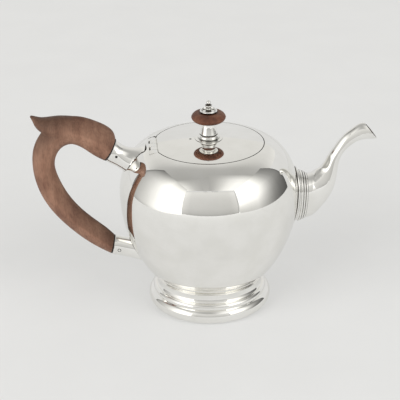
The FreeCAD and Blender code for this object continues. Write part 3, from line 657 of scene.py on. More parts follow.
# %% Body
BODY_RADIUS = 59.0
EQUATOR = 80.7
UPPER_ARC = 42.8
UPPER_ANGLE = math.radians(30.6)
SHOULDER_ARC = 25.1
SEAM_SLOPE = math.radians(11.3)
LOWER_ARC = 90.7
LOWER_ANGLE = math.radians(32.7)
BASE_ARC = 47.5
BASE_FLAT = 12.0
BODY_WALL = 1.0
BODY_ARC_STEP = math.radians(1.0)
BODY_STEPS = 256

UPPER_CENTRE = Vector((BODY_RADIUS - UPPER_ARC, EQUATOR))
UPPER_WAY = Vector((math.cos(UPPER_ANGLE), math.sin(UPPER_ANGLE)))
SHOULDER_CENTRE = UPPER_CENTRE + (UPPER_ARC - SHOULDER_ARC) * UPPER_WAY
LOWER_CENTRE = Vector((BODY_RADIUS - LOWER_ARC, EQUATOR))
LOWER_WAY = Vector((math.cos(LOWER_ANGLE), -math.sin(LOWER_ANGLE)))
BASE_CENTRE = LOWER_CENTRE + (LOWER_ARC - BASE_ARC) * LOWER_WAY
SEAM_RADIUS = SHOULDER_CENTRE.x + SHOULDER_ARC * math.sin(SEAM_SLOPE)
SEAM_HEIGHT = SHOULDER_CENTRE.y + SHOULDER_ARC * math.cos(SEAM_SLOPE)


def arc(centre, radius, start, end):
    count = max(2, round(abs(end - start) / BODY_ARC_STEP))
    angles = [start + (end - start) * index / count for index in range(count + 1)]
    return [(centre.x + radius * math.cos(a), centre.y + radius * math.sin(a)) for a in angles]


def pot_side(inset=0.0):
    """The pot's side from the middle of the base up to the mouth, set in by a distance."""
    base = BASE_ARC - inset
    flat_angle = -math.acos((BASE_FLAT - BASE_CENTRE.x) / base)
    mouth_angle = math.acos((SEAM_RADIUS - SHOULDER_CENTRE.x) / (SHOULDER_ARC - inset))
    points = [(0.0, BASE_CENTRE.y + base * math.sin(flat_angle))]
    points += arc(BASE_CENTRE, base, flat_angle, -LOWER_ANGLE)[:-1]
    points += arc(LOWER_CENTRE, LOWER_ARC - inset, -LOWER_ANGLE, 0.0)[:-1]
    points += arc(UPPER_CENTRE, UPPER_ARC - inset, 0.0, UPPER_ANGLE)[:-1]
    points += arc(SHOULDER_CENTRE, SHOULDER_ARC - inset, UPPER_ANGLE, mouth_angle)
    return points


def pot_radius(height):
    """Outside radius of the pot at a height."""
    side = pot_side()[1:]
    return float(numpy.interp(height, [z for r, z in side], [r for r, z in side]))


def pot_height(radius):
    """Height of the pot's underside at a radius."""
    return BASE_CENTRE.y - math.sqrt(BASE_ARC ** 2 - (radius - BASE_CENTRE.x) ** 2)


def pot_form():
    """The pot as one closed solid form, to fit other pieces against."""
    side = pot_side()
    return to_object(turned_mesh(side + [(0.0, side[-1][1])], BODY_STEPS), "pot_form")


LID_GAP = 0.3
LID_RADIUS = SEAM_RADIUS - LID_GAP
KNUCKLE_RADIUS = 2.7
CHORD_GAP = 0.25
HINGE_DEPTH = 2.75
HINGE_LENGTH = 26.8
TROUGH_WALL = 0.8
HINGE_CHORD = math.sqrt(LID_RADIUS ** 2 - (HINGE_LENGTH / 2) ** 2)
HINGE_X = -(HINGE_CHORD + CHORD_GAP + KNUCKLE_RADIUS)
HINGE_Z = SEAM_HEIGHT - HINGE_DEPTH
ROD_STEPS = 48
HOLE_STEPS = 24


def plain_rod(radius, length, centre, axis, steps=ROD_STEPS):
    """A cylinder about a centre along an axis, in millimetres, to cut with."""
    half = length / 2
    mesh = turned_mesh([(0, -half), (radius, -half), (radius, half), (0, half)], steps)
    stand_along(mesh, centre, axis)
    return to_object(mesh, "plain_rod")


def finish_faces(piece, material, is_marked):
    """Gives the faces that a test picks a second finish."""
    piece.data.materials.append(material)
    marks = [int(is_marked(face)) for face in piece.data.polygons]
    piece.data.polygons.foreach_set("material_index", marks)


SPOUT_AXIS = EQUATOR - 7.2
STRAINER_RADIUS = 1.2
STRAINER_PITCH = 4.8
STRAINER_HALF_WIDTH = 7.4
STRAINER_HALF_HEIGHT = 12.25
STRAINER_REACH = 20.0
STRAINER_ROWS = range(-2, 3)


def strainer_holes():
    """Rods through the wall behind the spout, in staggered rows inside the spout's bore, as one tool."""
    mesh = bmesh.new()
    for row in STRAINER_ROWS:
        for column in STRAINER_ROWS:
            y = (column + (row % 2) / 2) * STRAINER_PITCH
            z = row * STRAINER_PITCH * math.sqrt(3) / 2
            if (y / STRAINER_HALF_WIDTH) ** 2 + (z / STRAINER_HALF_HEIGHT) ** 2 <= 1:
                centre = (BODY_RADIUS, y, SPOUT_AXIS + z)
                hole = plain_rod(STRAINER_RADIUS, STRAINER_REACH, centre, (1, 0, 0), HOLE_STEPS)
                mesh.from_mesh(hole.data)
                bpy.data.objects.remove(hole)
    return to_object(mesh, "strainer_holes")


def make_body():
    shell = turned_mesh(eased(pot_side() + pot_side(BODY_WALL)[::-1]), BODY_STEPS)
    body = to_object(shell, "silver_body")
    trough_length = HINGE_LENGTH + 2 * TROUGH_WALL
    carve(body, plain_rod(KNUCKLE_RADIUS + TROUGH_WALL, trough_length, (HINGE_X, 0, HINGE_Z), (0, 1, 0)))
    carve(body, strainer_holes())
    stand_for(body, "body", "pot", silver)
    middle = Vector((0, 0, EQUATOR * MM))
    finish_faces(body, tea_stained, lambda face: face.normal.dot(face.center - middle) < 0)


make_body()

# %% [markdown]
# ## The foot
# The foot is a moulded ring: a half-round roll on the table, a bead above it, and a hollow neck that
# flares up to the body. The crease between roll and bead stays sharp.

# %% Foot
FOOT_INNER = 32.0
FOOT_NECK = 36.9


def make_foot():
    corners = [
        (FOOT_INNER, 0.0),
        (35.8, 0.0, 4.3),
        (38.0, 10.4, 1.15),
        (35.5, 13.9, -1.87),
        (FOOT_NECK, pot_height(FOOT_NECK)),
        (FOOT_INNER, pot_height(FOOT_INNER)),
    ]
    foot = to_object(turned_mesh(eased(outline(corners)), BODY_STEPS), "moulded_foot")
    stand_for(foot, "foot_ring", "pot", silver)


make_foot()

# %% [markdown]
# ## The lid
# The lid is a shallow dome, so nearly flush that only a fine dark line shows where it meets the shoulder.
# It is cut straight along the hinge, and hollowed in a curve about the hinge's axis beside each fixed
# knuckle, which it rolls past. A small hole lets the steam out. Its rim lies in the seam and is painted
# dark, as tarnish and as painted shade. The edge is worn, and set a hair to the far side, +Y, so the
# seam is widest at the front.

# %% Lid
LID_RISE = 3.0
LID_THICKNESS = 1.2
LID_RIM = 1.4
LID_BEVEL = 0.85
BEZEL_RADIUS = 32.1
BOSS_RADIUS = 4.6
VENT_RADIUS = 0.8
VENT_OFFSET = 11.9
VENT_LENGTH = 12.0
ROD_HOLE = 1.02
SEAM_WEAR = 0.14
SEAM_SHIFT = 0.13
KNUCKLE_COUNT = 5
KNUCKLE_GAP = 0.15
TROUGH_HALF = 13.4
ROLL_RADIUS = 4.1
ROLL_GAP = 0.12
ROLL_STEPS = 96
DOME_SWELL = LID_RISE * 0.249
UNDER_SWELL = -0.5
RIM_MARGIN = 0.1
RIM_FACING = 0.5
LID_TOP = SEAM_HEIGHT + LID_RISE
DOME_RADIUS = (LID_RADIUS ** 2 + LID_RISE ** 2) / (2 * LID_RISE)


def dome_height(radius):
    return LID_TOP - DOME_RADIUS + math.sqrt(DOME_RADIUS ** 2 - radius ** 2)


def fixed_knuckles():
    """Middle and length along Y of the pot's knuckles, the outer ones as far as the trough's ends."""
    pitch = HINGE_LENGTH / KNUCKLE_COUNT
    spans = []
    for index in range(0, KNUCKLE_COUNT, 2):
        low = index * pitch + KNUCKLE_GAP / 2 - HINGE_LENGTH / 2
        high = (index + 1) * pitch - KNUCKLE_GAP / 2 - HINGE_LENGTH / 2
        if index == 0:
            low = -TROUGH_HALF
        if index == KNUCKLE_COUNT - 1:
            high = TROUGH_HALF
        spans.append(((low + high) / 2, high - low))
    return spans


def make_lid():
    edge = LID_RADIUS - SEAM_WEAR
    under = SEAM_HEIGHT - LID_RIM
    boss = LID_TOP - LID_THICKNESS
    corners = [
        (ROD_HOLE, boss),
        (BOSS_RADIUS, boss, UNDER_SWELL),
        (BEZEL_RADIUS, under),
        (edge - LID_BEVEL, under),
        (edge, dome_height(edge), DOME_SWELL),
        (ROD_HOLE, dome_height(ROD_HOLE)),
    ]
    mesh = turned_mesh(eased(outline(corners)), BODY_STEPS)
    for vertex in mesh.verts:
        vertex.co.y += SEAM_SHIFT * MM * (vertex.co.xy.length / (LID_RADIUS * MM)) ** 2
    cut = bmesh.ops.bisect_plane(mesh, geom=mesh.verts[:] + mesh.edges[:] + mesh.faces[:],
                                 plane_co=(-HINGE_CHORD * MM, 0, 0), plane_no=(-1, 0, 0), clear_outer=True)
    edges = [item for item in cut["geom_cut"] if isinstance(item, bmesh.types.BMEdge)]
    bmesh.ops.edgenet_fill(mesh, edges=edges)
    lid = to_object(mesh, "silver_lid")
    carve(lid, plain_rod(VENT_RADIUS, VENT_LENGTH, (-VENT_OFFSET, 0, LID_TOP), (0, 0, 1), HOLE_STEPS))
    for y, length in fixed_knuckles():
        centre = (HINGE_X, y, HINGE_Z)
        carve(lid, plain_rod(ROLL_RADIUS + ROLL_GAP, length + 2 * ROLL_GAP, centre, (0, 1, 0), ROLL_STEPS))
    stand_for(lid, "lid", "lid", silver)
    # Painted shade in the seam: the rim's faces take the dark finish.
    rim = (edge - LID_BEVEL - RIM_MARGIN) * MM
    finish_faces(lid, tarnish_and_shade, lambda face: face.normal.z < RIM_FACING and face.center.xy.length > rim)


make_lid()

# %% [markdown]
# ## The fixed knuckles
# The hinge is sunk so that it hardly shows: the pot's own knuckles are filed to the same height as the
# lid's, and run on to the trough's lip on one side and under the lid's edge on the other. Each starts as
# a bar whose lid side is round about the hinge's axis, and is then trimmed with the closed pot's form.

# %% Fixed knuckles
TROUGH_LIP = 2.58
WEB_HEIGHT = 2.2
TUBE_RADIUS = 2.4
PIN_BORE = 0.81
KNUCKLE_EASE = 0.02
ROLL_START = 22
LIP_FOOT = 0.05
END_FACING = 0.9
DOME_STEPS = 40


def closed_form():
    """The pot with its lid shut, as one solid form."""
    radii = [LID_RADIUS * (1 - index / DOME_STEPS) for index in range(DOME_STEPS + 1)]
    dome = [(radius, dome_height(radius)) for radius in radii]
    return to_object(turned_mesh(pot_side() + dome, BODY_STEPS), "closed_form")


def about_hinge(radius, start, end, count):
    """Points (x, z) on an arc about the hinge's axis, between two angles in degrees."""
    angles = [math.radians(start + (end - start) * index / count) for index in range(count + 1)]
    return [(radius * math.cos(angle), radius * math.sin(angle)) for angle in angles]


def knuckle_outline():
    """Round below, rolled on the lid's side, flat on top with the tube proud, and square at the lip."""
    roll_end = math.degrees(math.asin(WEB_HEIGHT / ROLL_RADIUS))
    tube_start = math.degrees(math.asin(WEB_HEIGHT / TUBE_RADIUS))
    points = about_hinge(KNUCKLE_RADIUS - KNUCKLE_EASE, 180, 360, count=18)
    points += about_hinge(ROLL_RADIUS, ROLL_START, roll_end, count=4)
    points += about_hinge(TUBE_RADIUS, tube_start, 180 - tube_start, count=10)
    return points + [(-TROUGH_LIP, WEB_HEIGHT), (-TROUGH_LIP, LIP_FOOT)]


def make_fixed_knuckles():
    mesh = bmesh.new()
    for y, length in fixed_knuckles():
        ends = []
        for side in (y - length / 2, y + length / 2):
            points = [Vector((HINGE_X + x, side, HINGE_Z + z)) * MM for x, z in knuckle_outline()]
            ends.append([mesh.verts.new(point) for point in points])
        close_ends(mesh, ends)
    knuckles = skinned(mesh, "flush_knuckles")
    carve(knuckles, closed_form(), "INTERSECT")
    carve(knuckles, plain_rod(PIN_BORE, 2 * HINGE_LENGTH, (HINGE_X, 0, HINGE_Z), (0, 1, 0), HOLE_STEPS))
    stand_for(knuckles, "body_knuckles", "pot", rubbed_silver)
    # Painted light: the end walls in the hinge's grooves take the pale paste finish.
    finish_faces(knuckles, pale_paste_fill_light, lambda face: abs(face.normal.y) > END_FACING)


make_fixed_knuckles()

# %% [markdown]
# ## The finial
# A silver stem of turned mouldings carries a wooden disc that stays cool, then a dished plate and a small
# baluster button. All of them are lathe work on one axis.

# %% Finial
STEM_TOP = LID_TOP + 11.6
DISC_TOP = STEM_TOP + 6.3
PLATE_TOP = DISC_TOP + 0.7
FINIAL_STEPS = 96
STEM_FLARE = 8.9
DISC_EASE_MM = 0.5


def make_turned(name, node, corners, material, ease=EDGE_EASE_MM, grooves=()):
    """A turned finial piece. Grooves are (low, high) bands of height with tarnish and painted shade."""
    piece = to_object(turned_mesh(eased(outline(corners), ease), FINIAL_STEPS), name)
    stand_for(piece, node, "lid", material)
    if grooves:
        finish_faces(piece, tarnish_and_shade, lambda face: any(
            low < face.center.z / MM < high for low, high in grooves))


make_turned("finial_stem_mouldings", "finial_stem", [
    (ROD_HOLE, dome_height(ROD_HOLE)),
    (STEM_FLARE, dome_height(STEM_FLARE)),
    (STEM_FLARE, dome_height(STEM_FLARE) + 0.35, -0.15),
    (6.3, LID_TOP + 0.4, 1.1),
    (5.1, LID_TOP + 3.0),
    (5.8, LID_TOP + 3.5, -0.15),
    (4.5, STEM_TOP - 1.0),
    (4.6, STEM_TOP - 0.75),
    (6.7, STEM_TOP - 0.6),
    (6.7, STEM_TOP),
    (ROD_HOLE, STEM_TOP),
], silver, grooves=[(LID_TOP + 2.75, LID_TOP + 3.3)])

make_turned("finial_wooden_disc", "finial_disc", [
    (ROD_HOLE, STEM_TOP),
    (7.0, STEM_TOP, 0.95),
    (11.2, STEM_TOP + 3.15, 0.95),
    (7.0, DISC_TOP),
    (ROD_HOLE, DISC_TOP),
], disc_wood, DISC_EASE_MM)

make_turned("finial_dished_plate", "finial_plate", [
    (ROD_HOLE, DISC_TOP),
    (3.2, DISC_TOP),
    (5.4, DISC_TOP + 0.5, 0.3),
    (5.3, PLATE_TOP + 0.9, 0.25),
    (4.6, PLATE_TOP + 0.85),
    (4.35, PLATE_TOP + 0.15),
    (4.0, PLATE_TOP),
    (3.2, PLATE_TOP),
    (ROD_HOLE, PLATE_TOP),
], silver, grooves=[(PLATE_TOP + 0.02, PLATE_TOP + 0.3)])

BALL_RADIUS = 1.5
BALL_STEPS = 14
WAIST_RADIUS = 1.0
WAIST_HEIGHT = PLATE_TOP + 4.8
BALL_HEIGHT = WAIST_HEIGHT + math.sqrt(BALL_RADIUS ** 2 - WAIST_RADIUS ** 2)
BORE_TOP = PLATE_TOP + 2.6
ball_start = math.asin((WAIST_HEIGHT - BALL_HEIGHT) / BALL_RADIUS)
ball_angles = [ball_start + (math.pi / 2 - ball_start) * index / BALL_STEPS for index in range(BALL_STEPS)]
ball = [(BALL_RADIUS * math.cos(a), BALL_HEIGHT + BALL_RADIUS * math.sin(a)) for a in ball_angles]
make_turned("finial_baluster_button", "finial_button", [
    (ROD_HOLE, PLATE_TOP),
    (2.0, PLATE_TOP),
    (1.6, PLATE_TOP + 1.0),
    (1.7, PLATE_TOP + 1.3, 0.35),
    (1.45, PLATE_TOP + 2.5),
    (2.2, PLATE_TOP + 3.5, 0.2),
    (2.1, PLATE_TOP + 4.2),
] + ball + [
    (0.0, BALL_HEIGHT + BALL_RADIUS),
    (0.0, BORE_TOP),
    (ROD_HOLE, BORE_TOP),
], silver, grooves=[
    (PLATE_TOP + 0.1, PLATE_TOP + 1.25),
    (PLATE_TOP + 2.35, PLATE_TOP + 3.0),
    (WAIST_HEIGHT - 0.45, WAIST_HEIGHT + 0.1),
])

# %% [markdown]
# ## The handle's sockets
# Two silver sockets are soldered to the body and take the handle's tenons. Each is turned on its own
# axis, which leans, and is trimmed to the body's curve. The upper one is bowed a little, which leaves its
# under side straight. The lower one is an upright oval, so its crown stands higher than a round one's. A
# pin crosses each socket. The cloth misses the solder line where a socket meets the body, so the faces
# next to it are painted dark, as tarnish and painted shade, and so is the end under the rim, which
# faces into the pot.

# %% Sockets
SOCKETS = {
    "upper": {
        "mouth": (-63.9, 111.2), "tilt": 29.0, "pin": (-60.24, 109.37), "hole": 0.82,
        "bow": 0.7, "lift": 1.2, "crown": 0.0,
        "side": [(7.4, 0.0), (7.4, 3.0, -0.6), (8.2, 12.5, -0.7), (12.4, 18.4)],
    },
    "lower": {
        "mouth": (-64.6, 41.8), "tilt": 11.8, "pin": (-60.68, 40.98), "hole": 1.2,
        "bow": 0.0, "lift": 0.0, "crown": 2.2,
        "side": [(5.75, 0.0), (5.75, 3.0, -0.45), (7.4, 24.0)],
    },
}
TENON_RADIUS = 4.45
TENON_DEPTH = 9.0
BORE_LIP = 0.5
PIN_REACH = 30.0
SOLDER_LINE = 0.25
SOCKET_EASE = 0.25
BACK_FACING = 0.95
PROBE = 0.1


def off_body(place):
    """Distance in millimetres of a place from the body's surface, measured square to it."""
    height = place.z / MM
    slope = (pot_radius(height + PROBE) - pot_radius(height - PROBE)) / (2 * PROBE)
    return (place.xy.length / MM - pot_radius(height)) / math.hypot(1, slope)


def socket_axis(facts):
    """Centre of a socket's mouth, and the way into the pot."""
    tilt = math.radians(facts["tilt"])
    mouth = Vector((facts["mouth"][0], 0, facts["mouth"][1]))
    return mouth, Vector((math.cos(tilt), 0, -math.sin(tilt)))


def make_socket(end, facts):
    length = facts["side"][-1][1]
    bore = [(0.0, length), (0.0, TENON_DEPTH), (TENON_RADIUS, TENON_DEPTH)]
    corners = [(TENON_RADIUS, 0.0)] + facts["side"] + bore
    mouth, inward = socket_axis(facts)
    mesh = turned_mesh(eased(outline(corners), SOCKET_EASE))
    for vertex in mesh.verts:
        share = vertex.co.z / (length * MM)
        radius = vertex.co.xy.length
        if radius > (TENON_RADIUS + BORE_LIP) * MM:
            vertex.co.x -= facts["crown"] * MM * (1 - share / 2) * (1 - vertex.co.x / radius) / 2
        vertex.co.x += (facts["bow"] * math.sin(math.pi * share) - facts["lift"] * share ** 3) * MM
    stand_along(mesh, mouth, inward)
    socket = to_object(mesh, f"{end}_silver_socket")
    carve(socket, pot_form())
    pin_x, pin_z = facts["pin"]
    carve(socket, plain_rod(facts["hole"], PIN_REACH, (pin_x, 0, pin_z), (0, 1, 0), HOLE_STEPS))
    stand_for(socket, f"{end}_socket", "pot", silver)
    # Painted shade, partly tarnish: the solder line and the end under the rim take the dark finish.
    finish_faces(socket, tarnish_and_shade, lambda face: (
        off_body(face.center) < SOLDER_LINE or face.normal.dot(inward) > BACK_FACING))


for socket_end, socket_facts in SOCKETS.items():
    make_socket(socket_end, socket_facts)

# %% [markdown]
# ## Sweeping
# The spout and the handle are ovals that grow, shrink and turn along a curved line. A few stations are
# given, and a smooth curve is run through each of their numbers. The curve has to bend smoothly as well
# as meet, because a mirror shows a break in bending as a kink in every reflection, so it is a cubic
# spline with matching bends.

# %% Helpers for swept pieces
def spline_through(rows, steps):
    """Rows of numbers along a cubic spline through rows, spaced by the distance between centres."""
    rows = numpy.array(rows, float)
    gaps = numpy.linalg.norm(numpy.diff(rows[:, :2], axis=0), axis=1)
    at = numpy.concatenate([[0.0], numpy.cumsum(gaps)])
    count = len(rows)
    matrix = numpy.zeros((count, count))
    right = numpy.zeros_like(rows)
    matrix[0, 0] = matrix[-1, -1] = 1.0
    for i in range(1, count - 1):
        matrix[i, i - 1:i + 2] = gaps[i - 1], 2 * (gaps[i - 1] + gaps[i]), gaps[i]
        right[i] = 6 * ((rows[i + 1] - rows[i]) / gaps[i] - (rows[i] - rows[i - 1]) / gaps[i - 1])
    bends = numpy.linalg.solve(matrix, right)
    result = []
    for place_at in numpy.linspace(0.0, at[-1], steps):
        i = min(int(numpy.searchsorted(at, place_at, side="right")) - 1, count - 2)
        gap, near, far = gaps[i], at[i + 1] - place_at, place_at - at[i]
        cubic = (bends[i] * near ** 3 + bends[i + 1] * far ** 3) / (6 * gap)
        line_near = (rows[i] / gap - bends[i] * gap / 6) * near
        line_far = (rows[i + 1] / gap - bends[i + 1] * gap / 6) * far
        result.append(cubic + (line_near + line_far))
    return result


def egg_side(angle, egg):
    """Sideways share at an angle from an oval's top. A share of egg makes it widest above its middle."""
    return math.sin(angle) * (1 + egg * math.cos(angle)) / (1 + egg * egg / 2)


def oval_ring(mesh, centre, lean, depth, width, steps, ridge=0.0, egg=0.0):
    """An oval that leans in the plane of symmetry. A share of ridge makes its sides meet in one."""
    across = Vector((-math.sin(lean), 0, math.cos(lean)))
    ring = []
    for angle in around(steps):
        up = math.cos(angle) * depth / 2
        pointed = math.copysign(1 - abs(math.cos(angle)), math.sin(angle))
        side = ((1 - ridge) * egg_side(angle, egg) + ridge * pointed) * width / 2
        ring.append(mesh.verts.new((centre + across * up + Vector((0, side, 0))) * MM))
    return ring


# %% [markdown]
# ## The spout
# The swan-neck spout is made of sheet, one wall thick and open at both ends. Its outside and its bore
# follow the same line. From the neck on, its sides are planished a little flatter and meet in a soft
# ridge on each side.

# %% Spout
SPOUT_WALL = 1.0
SPOUT_STEPS = 140
SPOUT_SIDES = 96
SPOUT_RIDGE = 0.3
RIDGE_START = 9.0
RIDGE_FULL = 20.0
ROOT_EGG = 0.27
EGG_END = 26.0
# Distance beyond the body, height above its equator, depth, width and lean of each station
SPOUT_STATIONS = [
    (4.4, -7.4, 31.4, 21.7, 0.0),
    (6.0, -7.2, 31.2, 21.25, 0.0),
    (8.9, -6.6, 30.8, 20.15, 1.0),
    (13.2, -2.9, 27.0, 18.2, 10.0),
    (19.35, 5.2, 18.7, 15.0, 28.6),
    (21.95, 12.8, 13.0, 12.4, 38.3),
    (23.6, 19.35, 9.2, 10.4, 48.7),
    (27.65, 26.8, 7.9, 9.5, 49.2),
    (32.3, 32.0, 8.9, 9.2, 38.4),
    (36.95, 35.3, 9.6, 9.4, 29.0),
    (41.75, 37.3, 11.8, 9.8, 27.0),
    (47.45, 37.75, 14.0, 10.4, 38.4),
]


def make_spout():
    mesh = bmesh.new()
    outside = []
    inside = []
    for reach_mm, rise, depth, width, lean in spline_through(SPOUT_STATIONS, SPOUT_STEPS):
        centre = Vector((BODY_RADIUS + reach_mm, 0, EQUATOR + rise))
        angle = math.radians(lean)
        ridge = SPOUT_RIDGE * float(numpy.interp(reach_mm, (RIDGE_START, RIDGE_FULL), (0, 1)))
        egg = ROOT_EGG * float(numpy.interp(reach_mm, (RIDGE_START, EGG_END), (1, 0)))
        outside.append(oval_ring(mesh, centre, angle, depth, width, SPOUT_SIDES, ridge, egg))
        bore = 2 * SPOUT_WALL
        inside.append(oval_ring(mesh, centre, angle, depth - bore, width - bore, SPOUT_SIDES, ridge, egg))
    bridge(mesh, outside + inside[::-1] + outside[:1])
    spout = skinned(mesh, "swan_neck_spout")
    stand_for(spout, "spout", "pot", silver)
    first_inside = SPOUT_STEPS * SPOUT_SIDES
    finish_faces(spout, tea_stained, lambda face: face.index >= first_inside)


make_spout()

# %% [markdown]
# ## The spout's collar
# A thin oval flange lies on the body's curve, and three reeds step down from it to the spout. Each ring
# of the flange takes its depth from the body under it, so it hugs the pot all round. Where the flange
# meets the body, in the step above it and in the valleys between the reeds, the faces are painted dark,
# as tarnish and as painted shade, and draw them as dark lines.

# %% Collar
FLANGE_HALF = 20.4
FLANGE_THICKNESS = 1.2
REED_HALVES = (17.7, 16.9, 16.1)
REED_LENGTH = 1.5
REED_SWELL = 0.5
REED_BEND = 0.4
REED_SHARES = (0.0, 0.1, 0.28, 0.5, 0.72, 0.9, 1.0)
COLLAR_END = BODY_RADIUS + 6.0
COLLAR_SIDES = 160
ROOT_DEPTH = 31.3
ROOT_WIDTH = 21.6
OVAL_RATIO = ROOT_WIDTH / ROOT_DEPTH
BORE_HALF = ROOT_DEPTH / 2 - SPOUT_WALL


def collar_ring(mesh, half, x=None, lift=0.0):
    """An oval ring, either near x and bent a little like the body, or lifted off the body's surface."""
    ring = []
    for angle in around(COLLAR_SIDES):
        y = half * OVAL_RATIO * egg_side(angle, ROOT_EGG)
        z = SPOUT_AXIS + half * math.cos(angle)
        on_body = math.sqrt(pot_radius(z) ** 2 - y ** 2)
        place_x = on_body + lift if x is None else x + REED_BEND * (on_body - BODY_RADIUS)
        ring.append(mesh.verts.new(Vector((place_x, y, z)) * MM))
    return ring


def make_collar():
    mesh = bmesh.new()
    thick = FLANGE_THICKNESS
    flange = [
        (BORE_HALF, 0.0),
        (FLANGE_HALF, 0.0),
        (FLANGE_HALF, thick * 0.4),
        (FLANGE_HALF - 0.2, thick * 0.9),
        (FLANGE_HALF - 0.5, thick),
        (REED_HALVES[0] + 0.6, thick),
        (REED_HALVES[0], thick * 0.8),
        (REED_HALVES[0], thick + 0.2),
    ]
    rings = [collar_ring(mesh, half, lift=lift) for half, lift in flange]
    # A strip has its first ring's number: 1 is the flange's edge on the body, 5 the step beside the reeds.
    dark_strips = {1, 5}
    first_reed = COLLAR_END - len(REED_HALVES) * REED_LENGTH
    for index, half in enumerate(REED_HALVES):
        dark_strips |= {len(rings), len(rings) + len(REED_SHARES) - 2}
        for share in REED_SHARES:
            swell = REED_SWELL * math.sin(math.pi * share)
            rings.append(collar_ring(mesh, half + swell, x=first_reed + (index + share) * REED_LENGTH))
    rings.append(collar_ring(mesh, BORE_HALF, x=COLLAR_END))
    bridge(mesh, rings + rings[:1])
    collar = skinned(mesh, "reeded_collar")
    stand_for(collar, "spout_collar", "pot", silver)
    # Painted shade, partly tarnish: the dark strips take the dark finish.
    finish_faces(collar, tarnish_and_shade, lambda face: face.index // COLLAR_SIDES in dark_strips)


make_collar()

# %% [markdown]
# ## The handle
# The handle is carved from one piece of wood: a C-shaped loop with a thumb spur that runs on from its
# crown. Its section is not quite an oval, because the carver's flats meet in a soft ridge along each
# side. The loop and the spur are swept one by one, and then remeshed into a single skin, which is
# smoothed a little as hands have smoothed it.

# %% Handle
HANDLE_SIDES = 72
HANDLE_RIDGE = 0.3
JOINT_GAP = 0.6
HANDLE_STEPS = 180
SPUR_STEPS = 50
WORN_FACTOR = 0.5
WORN_TIMES = 3
# Offset across the socket's axis, depth and width of the wood where it meets each socket
HANDLE_ENDS = {"upper": (0.2, 16.4, 15.4), "lower": (1.5, 13.6, 12.8)}
END_BLEND = 16
VOXEL_MM = 0.45
# Distance beyond the body, height above its equator, depth and width of each station
HANDLE_STATIONS = [
    (8.6, 35.0, 20.2, 15.4),
    (18.0, 41.95, 20.3, 14.8),
    (29.0, 45.4, 19.0, 14.6),
    (41.7, 39.8, 16.6, 14.4),
    (47.0, 31.3, 15.4, 14.0),
    (48.4, 23.5, 14.4, 14.0),
    (46.25, 9.9, 15.1, 14.0),
    (39.05, -5.45, 15.5, 14.0),
    (27.95, -18.95, 15.2, 13.8),
    (17.6, -28.25, 15.2, 13.4),
]
SPUR_STATIONS = [
    (29.0, 46.7, 16.0, 15.2),
    (37.0, 47.75, 15.2, 15.2),
    (45.0, 49.2, 11.8, 12.6),
    (50.0, 51.7, 7.4, 8.8),
    (53.2, 54.6, 3.0, 4.6),
    (55.0, 56.0, 1.3, 1.7),
]


def blended(lean, end_lean, share):
    """A lean turned by a share of the way to the lean of an end, the short way round."""
    if end_lean is None or share <= 0:
        return lean
    return lean + share * math.remainder(end_lean - lean, math.pi)


def swept_wood(mesh, stations, start_lean, end_lean, steps, ridge):
    """A closed sweep through stations on the handle's side of the pot."""
    rows = spline_through(stations, steps)
    centres = [Vector((-(BODY_RADIUS + row[0]), 0, EQUATOR + row[1])) for row in rows]
    rings = []
    for index, (centre, row) in enumerate(zip(centres, rows)):
        along = centres[min(index + 1, steps - 1)] - centres[max(index - 1, 0)]
        lean = math.atan2(along.z, along.x)
        lean = blended(lean, start_lean, 1 - index / END_BLEND)
        lean = blended(lean, end_lean, 1 - (steps - 1 - index) / END_BLEND)
        rings.append(oval_ring(mesh, centre, lean, row[2], row[3], HANDLE_SIDES, ridge))
    close_ends(mesh, rings)


def handle_end(end):
    """The station where the wood meets a socket, written like the others, and the way into the socket."""
    offset, depth, width = HANDLE_ENDS[end]
    mouth, inward = socket_axis(SOCKETS[end])
    centre = mouth - inward * JOINT_GAP + Vector((-inward.z, 0, inward.x)) * offset
    return (-centre.x - BODY_RADIUS, centre.z - EQUATOR, depth, width), inward


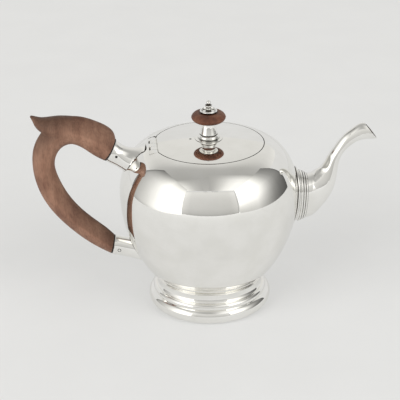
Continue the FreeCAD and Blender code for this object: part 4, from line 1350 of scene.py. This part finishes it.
def make_handle():
    mesh = bmesh.new()
    top, upper_inward = handle_end("upper")
    end, lower_inward = handle_end("lower")
    start_lean = math.atan2(-upper_inward.z, -upper_inward.x)
    end_lean = math.atan2(lower_inward.z, lower_inward.x)
    swept_wood(mesh, [top] + HANDLE_STATIONS + [end], start_lean, end_lean, HANDLE_STEPS, HANDLE_RIDGE)
    swept_wood(mesh, SPUR_STATIONS, None, None, SPUR_STEPS, 0.0)
    handle = skinned(mesh, "carved_handle")
    skin = handle.modifiers.new("skin", "REMESH")
    skin.mode = "VOXEL"
    skin.voxel_size = VOXEL_MM * MM
    worn = handle.modifiers.new("worn", "SMOOTH")
    worn.factor = WORN_FACTOR
    worn.iterations = WORN_TIMES
    apply_modifiers(handle)
    stand_for(handle, "handle", "pot", handle_wood)


make_handle()

# %% [markdown]
# ## Shade in the joints
# The wood stands a little off each socket's mouth, and the shade in that open joint shows as a thin black
# line all round it. It is painted as a black slip as wide as the wood's end, a little thicker than the
# joint is open, so it reaches into the wood.

# %% Shade in the joints
JOINT_SHADE_INSET = 0.15


def make_joint_shade(end):
    station, inward = handle_end(end)
    centre = Vector((-(BODY_RADIUS + station[0]), 0, EQUATOR + station[1]))
    lean = math.atan2(inward.z, inward.x)
    mesh = bmesh.new()
    depth, width = [side - 2 * JOINT_SHADE_INSET for side in station[2:]]
    rings = []
    for shift in (-JOINT_GAP, JOINT_GAP):
        place = centre + inward * shift
        rings.append(oval_ring(mesh, place, lean, depth, width, HANDLE_SIDES, HANDLE_RIDGE))
    close_ends(mesh, rings)
    slip = smooth(skinned(mesh, f"{end}_joint_shade_slip"))
    slip.data.materials.append(joint_shade_black)
    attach(slip, "pot")
    return slip


for joint_end in HANDLE_ENDS:
    print("pitch:", make_joint_shade(joint_end).name)

# %% [markdown]
# ## The pieces that keep their solids
# The hinge, the pins and what is inside are small and already have their shape, so they keep their solids
# and only get the silver.

# %% Silver on the rest
NODE_FINISHES = {
    # The lid's seat lies in the seam: its dark finish is tarnish and painted shade.
    "lid_seat": tarnish_and_shade,
    "hinge_trough": rubbed_silver,
    "lid_knuckles": rubbed_silver,
    "upper_handle_pin": pin_steel,
}
kept_nodes = {name: node for name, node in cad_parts.items() if not node.hide_render}
for node_name, node in kept_nodes.items():
    node.data.materials.clear()
    node.data.materials.append(NODE_FINISHES.get(node_name, silver))
print("kept solids:", ", ".join(sorted(kept_nodes)))
